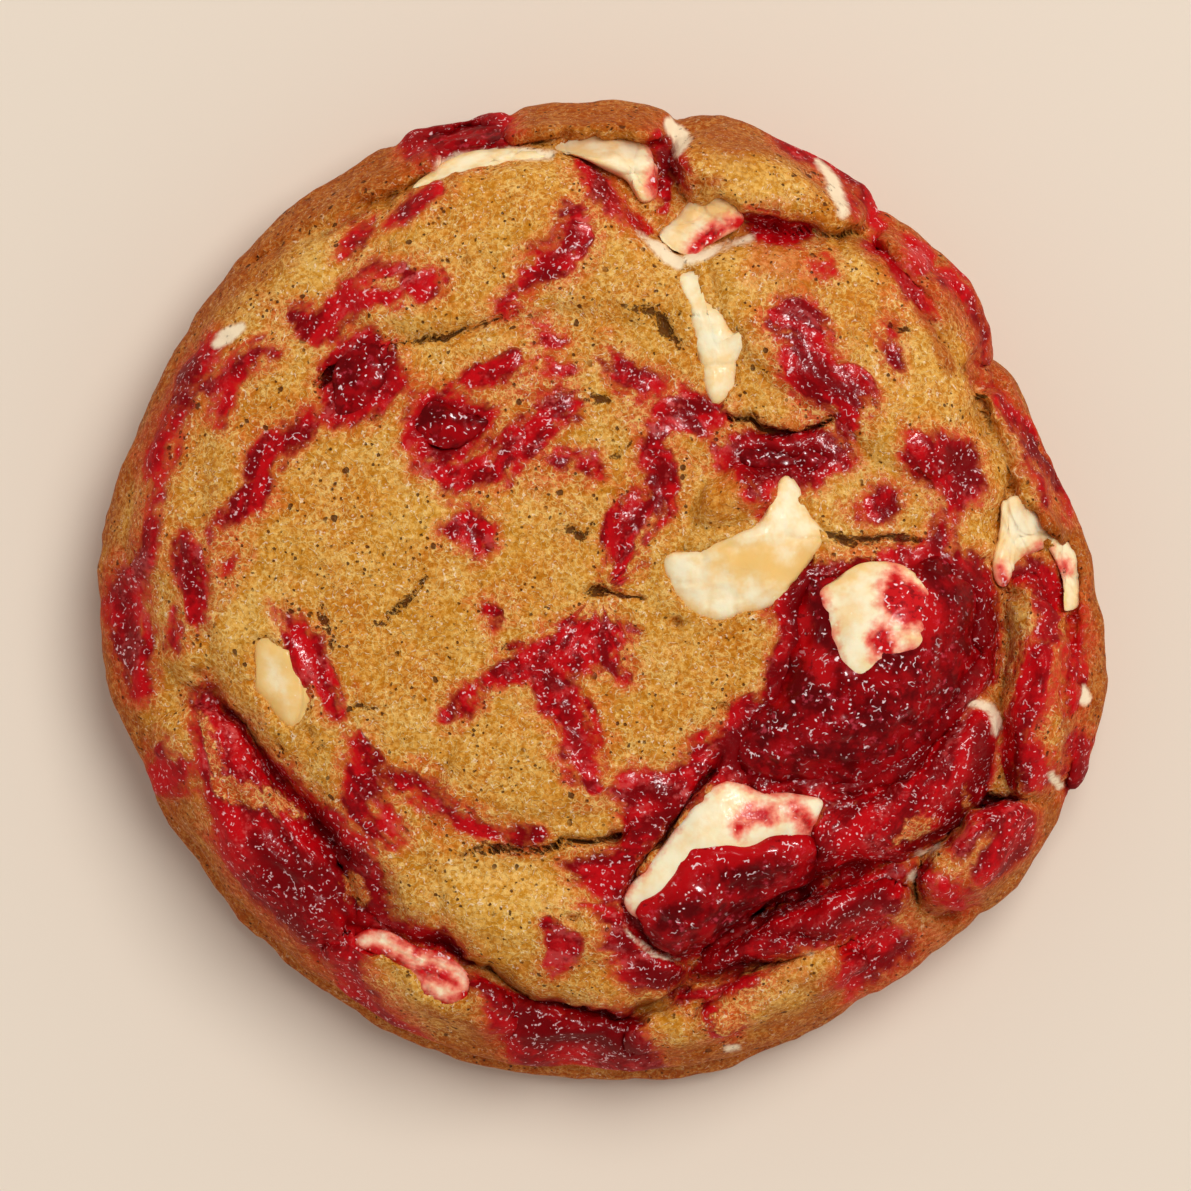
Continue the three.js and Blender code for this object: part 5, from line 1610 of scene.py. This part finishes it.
@dataclass(frozen=True)
class DoughFinish:
    """Golden soft-baked dough with sugar grain, small pits and red marbling, with painted shade in its
    cracks, pits and crease floors and painted highlights over it.
    """

    golden: tuple = linear(216, 154, 62)
    honey: tuple = linear(208, 130, 38)
    pale: tuple = linear(226, 170, 80)
    crust: tuple = linear(176, 86, 18)
    crumb: tuple = linear(234, 190, 110)
    soaked: tuple = (0.8, 0.6, 0.16, 1.0)
    blush: tuple = linear(214, 98, 60)
    stain: tuple = linear(210, 52, 34)
    # Pink crumbs over the red, partly a painted sheen.
    pink_crumbs_and_sheen: tuple = linear(226, 96, 92)
    red: tuple = linear(194, 6, 15)
    deep: tuple = linear(114, 0, 4)
    ivory: tuple = linear(249, 228, 192)
    # Painted shade colour laid into the cracks, small pits and crease floors of dry dough.
    hollow_shade: tuple = linear(84, 38, 12)
    # Painted highlight colours: on dry dough pale sugar flecks that partly stand for glint, on wet red dough
    # painted highlights.
    glint: tuple = linear(255, 230, 204)
    painted_wet_glint: tuple = linear(255, 214, 214)

    def frayed(self, graph: Graph, flow: Socket) -> Socket:
        """Uneven offset in millimetres, up to 1.5 either way, that frays the edges of the stains.

        Args:
            graph: The material's nodes.
            flow: Coordinates that follow the folds.

        Returns:
            The offset.
        """
        streaks, clumps = 3.8, 2.4
        offset = graph.weighted(
            (graph.noise(2.0, 3.0, 0.6, flow), streaks), (graph.noise(1.1, 3.0, 0.6), clumps)
        )
        return graph.math("SUBTRACT", offset, 0.5 * (streaks + clumps))

    def dry(self, graph: Graph, frayed: Socket) -> Socket:
        """Colour of the dry dough: golden and honey patches, paler, browner or blushed where marked.

        Args:
            graph: The material's nodes.
            frayed: The uneven offset.

        Returns:
            The colour.
        """
        honey = graph.weighted(
            (graph.noise(6.0, 2.0), 0.7), (graph.noise(1.5, 3.0, 0.7), 0.55), (graph.attribute("honey"), 0.3)
        )
        colour = graph.blend(graph.step(honey, 0.5, 0.78), self.golden, self.honey)
        colour = graph.blend(graph.attribute("pale"), colour, self.pale)
        brown = graph.weighted((graph.attribute("brown"), 1.0), (graph.noise(3.0, 3.0), 0.8))
        colour = graph.blend(graph.step(brown, 0.55, 1.25), colour, self.crust)
        blush = graph.weighted((graph.attribute("blush"), 1.0), (frayed, 0.8))
        return graph.blend(graph.step(blush, -1.6, 1.4, 0.0, 0.6), colour, self.blush)

    def marbled(
        self, graph: Graph, flow: Socket, dry: Socket, jam: Socket, wet: Socket, deep: Socket
    ) -> Socket:
        """Lay the red over the dry colour: a thin stain at its edge, then red, then deep red.

        Args:
            graph: The material's nodes.
            flow: Coordinates that follow the folds.
            dry: The dry colour.
            jam: Distance in from a stain's edge.
            wet: How wet and red the dough is, from 0 to 1.
            deep: How thick the red is, from 0 to 1.

        Returns:
            The colour.
        """
        colour = graph.blend(graph.step(jam, -2.2, 0.0, 0.0, 0.65), dry, self.stain)
        pulp = graph.weighted(
            (graph.noise(1.8, 3.0, 0.6, flow), 1.0), (graph.noise(0.8, 2.0, 0.6), 0.3)
        )
        red = graph.blend(graph.step(pulp, 0.76, 0.52, 0.0, 0.9), self.red, self.deep)
        red = graph.blend(deep, red, self.deep)
        # Pink crumbs over the red that are partly a painted sheen.
        crumbs = graph.weighted(
            (graph.noise(1.5, 3.0, 0.6, flow), 0.65), (graph.noise(0.5, 2.0, 0.6), 0.35)
        )
        pink_crumbs_and_sheen = graph.math("MULTIPLY", graph.step(crumbs, 0.52, 0.65, 0.0, 0.7), graph.step(deep, 1.0, 0.2))
        pink_crumbs_and_sheen = graph.math("MULTIPLY", pink_crumbs_and_sheen, graph.step(graph.attribute("blush"), -1.6, 1.4, 0.45, 1.0))
        return graph.blend(wet, colour, graph.blend(pink_crumbs_and_sheen, red, self.pink_crumbs_and_sheen))

    def crumbly(
        self, graph: Graph, colour: Socket, wet: Socket, grain: Socket, threads: Socket
    ) -> Socket:
        """Lay the dry dough's crumb over a colour: darker soaked spots, then pale grains and threads.

        Args:
            graph: The material's nodes.
            colour: The colour below.
            wet: How wet and red the dough is, from 0 to 1.
            grain: Fine noise.
            threads: Fine threads.

        Returns:
            The colour with its crumb.
        """
        dry = graph.step(wet, 0.6, 0.0)
        soaked = graph.weighted((grain, 0.8), (graph.noise(1.5, 3.0, 0.7), 0.6))
        soaked = graph.math("MULTIPLY", graph.step(soaked, 0.82, 0.56), dry)
        colour = graph.blend(soaked, colour, self.soaked, "MULTIPLY")
        lace = graph.step(graph.cells(0.6, "DISTANCE_TO_EDGE"), 0.1, 0.0)
        patchy = graph.noise(5.0, 2.0)
        crumb = graph.weighted((threads, 0.32), (lace, 0.2), (grain, 0.8), (patchy, 0.5))
        crumb = graph.math("MULTIPLY", graph.step(crumb, 0.6, 1.12, 0.0, 0.8), dry)
        baked = graph.math("MAXIMUM", graph.attribute("brown"), graph.attribute("honey"))
        crumb = graph.math("MULTIPLY", crumb, graph.step(baked, 0.1, 0.9, 1.0, 0.35))
        colour = graph.blend(crumb, colour, self.crumb)
        return graph.scaled(colour, graph.step(grain, 0.25, 0.75, 0.92, 1.08))

    def hollow_shade_share(self, graph: Graph, frayed: Socket, wet: Socket) -> Socket:
        """Find where shade is painted: cracks with crumbs in them, small pits and the floors of the creases,
        all painted darker.

        Args:
            graph: The material's nodes.
            frayed: The uneven offset.
            wet: How wet and red the dough is, from 0 to 1.

        Returns:
            The share of painted shade, from 0 to 1.
        """
        # Each share below marks painted shade: in the cracks, in small pits and on the floors of the
        # creases.
        crumbs = graph.math("SUBTRACT", graph.noise(0.8, 3.0, 0.7), 0.5)
        crack_shade = graph.weighted((graph.attribute("crack"), 1.0), (frayed, 0.2), (crumbs, 2.0))
        crack_shade = graph.step(crack_shade, 0.0, 0.3)
        pore_shade = graph.math("MAXIMUM", graph.dots(0.8, 0.22, 0.52), graph.dots(1.9, 0.16, 0.52))
        pore_shade = graph.math("MULTIPLY", pore_shade, graph.step(wet, 1.0, 0.3))
        fold = graph.math("ADD", graph.attribute("crease"), frayed)
        opening_shade = graph.math("MAXIMUM", crack_shade, pore_shade)
        return graph.math("MAXIMUM", graph.step(fold, 0.2, 1.6, 0.0, 0.45), opening_shade)

    def paint_glints(self, graph: Graph, colour: Socket, wet: Socket, hollow_shade: Socket) -> Socket:
        """Paint small light flecks over a colour: pale sugar flecks that are partly painted highlights on
        dry dough, and pinker painted highlights where the dough is wet.

        Args:
            graph: The material's nodes.
            colour: The colour below.
            wet: How wet and red the dough is, from 0 to 1.
            hollow_shade: The share of painted shade in the recesses.

        Returns:
            The colour with its flecks.
        """
        brown = graph.attribute("brown")
        # Dry flecks: pale sugar grains that are partly painted glint; wet flecks: painted highlights.
        sugar_flecks_and_painted_glints = graph.math("MAXIMUM", graph.dots(0.6, 0.2, 0.52), graph.curls(0.8, 0.58))
        sugar_flecks_and_painted_glints = graph.math("MULTIPLY", sugar_flecks_and_painted_glints, graph.step(hollow_shade, 0.6, 0.0, 0.0, 0.5))
        sugar_flecks_and_painted_glints = graph.math("MULTIPLY", sugar_flecks_and_painted_glints, graph.step(wet, 1.0, 0.2))
        sugar_flecks_and_painted_glints = graph.math("MULTIPLY", sugar_flecks_and_painted_glints, graph.step(brown, 0.2, 1.0, 1.0, 0.35))
        painted_wet_highlights = graph.math("MAXIMUM", graph.dots(0.62, 0.21, 0.51), graph.curls(0.8, 0.56))
        painted_wet_highlights = graph.math("MULTIPLY", painted_wet_highlights, graph.step(wet, 0.4, 1.0, 0.0, 0.68))
        colour = graph.blend(sugar_flecks_and_painted_glints, colour, self.glint)
        return graph.blend(painted_wet_highlights, colour, self.painted_wet_glint)

    def material(self) -> bpy.types.Material:
        """Build the dough's material.

        Returns:
            The material.
        """
        graph = Graph("baked_dough")
        flow = graph.direction("flow")
        frayed = self.frayed(graph, flow)
        gold = graph.math("ADD", graph.attribute("gold"), frayed)
        jam = graph.math("ADD", graph.attribute("jam"), frayed)
        wet = graph.math("MULTIPLY", graph.step(jam, -0.8, 0.6), graph.step(gold, -0.3, 0.5, 1.0, 0.0))
        thick = graph.weighted(
            (graph.attribute("thick"), 1.0), (graph.attribute("jam"), 0.25), (frayed, 0.9)
        )
        deep = graph.step(thick, -1.0, 2.2)
        colour = self.marbled(graph, flow, self.dry(graph, frayed), jam, wet, deep)
        grain = graph.noise(0.55, 2.0, 0.65)
        threads = graph.threads(0.8, 0.05)
        colour = self.crumbly(graph, colour, wet, grain, threads)
        hollow_shade = self.hollow_shade_share(graph, frayed, wet)
        # Painted shade colour: brown on dry dough, the deep red on wet dough.
        hollow_shade_colour = graph.blend(wet, self.hollow_shade, self.deep)
        colour = graph.blend(graph.math("MULTIPLY", hollow_shade, 0.88), colour, hollow_shade_colour)
        # Painted highlights over the colour.
        colour = self.paint_glints(graph, colour, wet, hollow_shade)
        ivory = graph.weighted((graph.attribute("ivory"), 1.0), (frayed, 0.3))
        ivory = graph.step(ivory, -0.3, 0.3, 0.0, 0.92)
        colour = graph.blend(ivory, colour, self.ivory)
        glazed = graph.math("MAXIMUM", wet, ivory)
        grainy = graph.weighted((grain, 0.45), (threads, 0.15), (graph.noise(1.3, 3.0), 0.9))
        grainy = graph.math("MULTIPLY", grainy, graph.step(glazed, 0.0, 1.0, 1.0, 0.2))
        folds = graph.weighted((graph.noise(1.5, 1.0, 0.5, flow), 1.2), (graph.noise(0.9, 0.0), 0.5))
        folds = graph.math("MULTIPLY", graph.math("SUBTRACT", folds, 0.85), wet)
        height = graph.weighted((grainy, 1.0), (folds, 0.5), (hollow_shade, -0.8), (ivory, 0.5))
        level = graph.step(graph.attribute("upward"), 0.55, 0.9, 0.04, 1.0)
        syrup = graph.step(glazed, 0.0, 1.0, 0.2, 0.55)
        glaze = graph.math("MAXIMUM", syrup, graph.attribute("glaze"))
        coat = graph.math("MULTIPLY", glaze, level)
        return graph.finish(
            colour, 0.6, graph.bump(height, 0.3), coat,
            Specular_IOR_Level=0.06, Coat_Roughness=0.17, Coat_IOR=1.6,
        )


@dataclass(frozen=True)
class IvoryFinish:
    """White chocolate, satin and faintly uneven, with soft red and golden stains, and painted highlights on
    the red.
    """

    body: tuple = linear(255, 238, 200)
    warm: tuple = linear(253, 219, 164)
    film: tuple = linear(242, 190, 100)
    pink: tuple = linear(246, 128, 104)
    red: tuple = linear(204, 8, 16)
    deep: tuple = linear(146, 0, 8)
    # Painted highlight colour on the red stains.
    glint: tuple = linear(255, 226, 226)

    def material(self) -> bpy.types.Material:
        """Build the white chocolate's material.

        Returns:
            The material.
        """
        graph = Graph("white_chocolate")
        cloudy = graph.noise(2.6, 3.0, 0.6)
        ragged = graph.noise(0.8, 3.0, 0.65)
        uneven = graph.weighted((cloudy, 3.4), (ragged, 1.2))
        uneven = graph.math("SUBTRACT", uneven, 0.5 * (3.4 + 1.2))
        colour = graph.blend(graph.step(cloudy, 0.38, 0.68), self.body, self.warm)
        film = graph.math("ADD", graph.attribute("film"), uneven)
        colour = graph.blend(graph.step(film, -1.8, 1.8, 0.0, 0.85), colour, self.film)
        jam = graph.math("ADD", graph.attribute("jam"), uneven)
        colour = graph.blend(graph.step(jam, -1.2, 0.1), colour, self.pink)
        red = graph.blend(graph.step(ragged, 0.52, 0.36), self.red, self.deep)
        wet = graph.step(jam, -0.3, 0.6)
        colour = graph.blend(wet, colour, red)
        # Painted highlights on the red stains.
        painted_glints = graph.math("MAXIMUM", graph.dots(0.7, 0.22, 0.52), graph.curls(1.1, 0.58))
        colour = graph.blend(graph.math("MULTIPLY", painted_glints, wet), colour, self.glint)
        colour = graph.blend(graph.math("MULTIPLY", graph.dots(0.9, 0.14, 0.56), 0.6), colour, self.body)
        height = graph.weighted((ragged, 0.7), (graph.noise(0.3, 2.0), 0.2))
        return graph.finish(
            colour, 0.45, graph.bump(height, 0.06), 0.4,
            Subsurface_Weight=0.2, Subsurface_Scale=0.0015, Specular_IOR_Level=0.2, Coat_Roughness=0.18,
        )


@dataclass(frozen=True)
class FruitFinish:
    """Wet raspberry: clear deep red, brighter where it is thin, with rows of small painted highlights, most
    on faces that look up.
    """

    deep: tuple = linear(96, 0, 3)
    red: tuple = linear(160, 2, 9)
    thin: tuple = linear(186, 5, 12)
    pink_crumbs_and_sheen: tuple = linear(214, 66, 82)
    # Painted highlight colour.
    glint: tuple = linear(255, 226, 226)

    def material(self) -> bpy.types.Material:
        """Build the raspberry's material.

        Returns:
            The material.
        """
        graph = Graph("raspberry")
        pulp = graph.noise(4.2, 3.0, 0.55)
        fine = graph.noise(1.1, 2.0, 0.6)
        seeds = graph.weighted((pulp, 1.0), (fine, 0.5))
        colour = graph.blend(graph.step(seeds, 0.62, 0.94), self.deep, self.red)
        thin = graph.weighted((graph.attribute("thin"), 1.0), (pulp, 3.0), (fine, 0.8))
        colour = graph.blend(graph.step(thin, 0.4, 2.6), colour, self.thin)
        # Pink specks over the red: partly paler pulp, partly painted highlights.
        crumbs = graph.weighted((graph.noise(1.4, 3.0, 0.6), 0.6), (graph.noise(0.45, 2.0, 0.6), 0.4))
        colour = graph.blend(graph.step(crumbs, 0.55, 0.7, 0.0, 0.6), colour, self.pink_crumbs_and_sheen)
        pits = graph.weighted((graph.noise(1.0, 2.0, 0.6), 1.0), (graph.noise(2.6, 1.0), 0.5))
        colour = graph.blend(graph.step(pits, 0.62, 0.5, 0.0, 0.7), colour, self.deep)
        upward = graph.attribute("upward")
        # Painted highlights, kept mostly to faces that look up.
        painted_glints = graph.math("MAXIMUM", graph.dots(0.7, 0.2, 0.54), graph.curls(1.0, 0.57))
        painted_glints = graph.math("MULTIPLY", painted_glints, graph.step(upward, 0.7, 0.92, 0.2, 0.92))
        colour = graph.blend(painted_glints, colour, self.glint)
        height = graph.weighted((graph.noise(2.0, 0.0), 1.0), (graph.noise(1.0, 0.0), 0.35))
        return graph.finish(
            colour, 0.4, graph.bump(height, 0.32), graph.step(upward, 0.66, 0.94, 0.05, 1.0),
            Specular_IOR_Level=0.05, Coat_Roughness=0.16, Coat_IOR=1.6,
        )


# ------------------------------------------------------------------ fillings and studio
@dataclass
class Fillings:
    """Every embedded piece, each in the finish of what it is made of."""

    form: CookieForm
    lattice: Lattice
    pieces: tuple[Piece, ...] = PIECES

    def build(self, finishes: dict[Filling, bpy.types.Material]) -> list[bpy.types.Object]:
        """Make the pieces and let each stand for its node.

        Args:
            finishes: The material of each filling.

        Returns:
            The objects.
        """
        made = []
        for piece in self.pieces:
            shell = piece.shell(self.form, self.lattice)
            plan = shell.corners[:, :2]
            if piece.filling is Filling.IVORY:
                border = piece.border - piece.mark.inward(plan, 2.0)
                jam, film = (deepest(marks, plan) for marks in (RED_ON_IVORY, FILM_ON_IVORY))
                if piece.red_edge:
                    jam = np.maximum(jam, border)
                else:
                    film = np.maximum(film, border)
                shell.fields = {"jam": jam, "film": film}
            else:
                shell.fields = {"thin": deepest(THIN_ON_FRUIT, plan), "upward": shell.normals()[:, 2]}
            thing = shell.make(f"{piece.node}_piece", finishes[piece.filling])
            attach(thing, "root")
            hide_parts(piece.node)
            made.append(thing)
        return made


@dataclass(frozen=True)
class Studio:
    """A pale table, a soft key light from the upper right and a camera straight above."""

    frame_width: float = 0.1191
    frame_middle: tuple[float, float] = (-0.00065, -0.00055)
    camera_height: float = 1.6
    focus_height: float = 0.010
    sensor: float = 36.0
    table_size: float = 2.4
    table: tuple = linear(233, 217, 198)
    key_bearing: float = 47.0
    key_elevation: float = 65.0
    key_distance: float = 2.0
    key: tuple[float, float] = (1.3, 29.0)
    glint: tuple[float, float] = (0.16, 8.0)
    sky_overhead: float = 0.14
    sky_horizon: float = 0.96
    sky_mirrored: float = 0.03

    def build(self) -> None:
        """Set the table, the lights and the camera.

        The key lamp gives the light and the small one only the highlights.
        """
        self._table()
        self._lamp("key", *self.key).visible_glossy = False
        self._lamp("glint", *self.glint).visible_diffuse = False
        self._sky()
        self._camera()

    def _table(self) -> None:
        """Lay a flat square of table under the cookie."""
        half = 0.5 * self.table_size
        mesh = bpy.data.meshes.new("table")
        corners = [(-half, -half, 0), (half, -half, 0), (half, half, 0), (-half, half, 0)]
        mesh.from_pydata(corners, [], [(0, 1, 2, 3)])
        material = bpy.data.materials.new("table")
        material.use_nodes = True
        shader = material.node_tree.nodes["Principled BSDF"]
        shader.inputs["Base Color"].default_value = self.table
        shader.inputs["Roughness"].default_value = 0.9
        shader.inputs["Specular IOR Level"].default_value = 0.1
        mesh.materials.append(material)
        table = bpy.data.objects.new("table", mesh)
        bpy.context.scene.collection.objects.link(table)

    def _lamp(self, name: str, size: float, power: float) -> bpy.types.Object:
        """Hang a round lamp of a size and power on the key side, aimed at the cookie.

        Args:
            name: Its name.
            size: Its width in metres.
            power: Its power in watts.

        Returns:
            The lamp's object.
        """
        lamp = bpy.data.lights.new(name, "AREA")
        lamp.shape = "DISK"
        lamp.size = size
        lamp.energy = power
        light = bpy.data.objects.new(name, lamp)
        bearing, elevation = math.radians(self.key_bearing), math.radians(self.key_elevation)
        flat = self.key_distance * math.cos(elevation)
        high = self.key_distance * math.sin(elevation)
        light.location = (flat * math.cos(bearing), flat * math.sin(bearing), high)
        light.rotation_euler = (0.5 * math.pi - elevation, 0.0, bearing + 0.5 * math.pi)
        bpy.context.scene.collection.objects.link(light)
        return light

    def _sky(self) -> None:
        """Fill the shadows with a pale surround: dim overhead, bright low down, dim in reflections."""
        world = bpy.data.worlds.new("surround")
        world.use_nodes = True
        nodes, links = world.node_tree.nodes, world.node_tree.links
        coordinates = nodes.new("ShaderNodeTexCoord")
        split = nodes.new("ShaderNodeSeparateXYZ")
        fall = nodes.new("ShaderNodeMapRange")
        fall.inputs["To Min"].default_value = self.sky_horizon
        fall.inputs["To Max"].default_value = self.sky_overhead
        ray = nodes.new("ShaderNodeLightPath")
        dim = nodes.new("ShaderNodeMapRange")
        dim.inputs["To Min"].default_value = 1.0
        dim.inputs["To Max"].default_value = self.sky_mirrored
        strength = nodes.new("ShaderNodeMath")
        strength.operation = "MULTIPLY"
        background = nodes["Background"]
        background.inputs["Color"].default_value = (1.0, 1.0, 1.0, 1.0)
        links.new(coordinates.outputs["Generated"], split.inputs[0])
        links.new(split.outputs["Z"], fall.inputs["Value"])
        links.new(ray.outputs["Is Glossy Ray"], dim.inputs["Value"])
        links.new(fall.outputs["Result"], strength.inputs[0])
        links.new(dim.outputs["Result"], strength.inputs[1])
        links.new(strength.outputs[0], background.inputs["Strength"])
        bpy.context.scene.world = world

    def _camera(self) -> None:
        """Look straight down with a long lens that takes in the frame's width at mid height."""
        camera = bpy.data.cameras.new("camera")
        camera.sensor_width = self.sensor
        camera.lens = self.sensor * (self.camera_height - self.focus_height) / self.frame_width
        view = bpy.data.objects.new("camera", camera)
        view.location = (*self.frame_middle, self.camera_height)
        bpy.context.scene.collection.objects.link(view)
        bpy.context.scene.camera = view
        bpy.context.scene.view_settings.view_transform = "Standard"


def main() -> None:
    """Load the frame, build the dough, its pieces and the studio, and log each mesh's face count."""
    logging.basicConfig(level=logging.INFO, format="%(name)s: %(message)s")
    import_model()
    form = CookieForm()
    dough = DoughBody(form, Lattice(seed=11)).build(DoughFinish().material())
    log.info("%s: %d faces", dough.name, len(dough.data.polygons))
    finishes = {Filling.IVORY: IvoryFinish().material(), Filling.FRUIT: FruitFinish().material()}
    for thing in Fillings(form, Lattice(seed=23)).build(finishes):
        log.info("%s: %d faces", thing.name, len(thing.data.polygons))
    Studio().build()


if __name__ == "__main__":
    main()
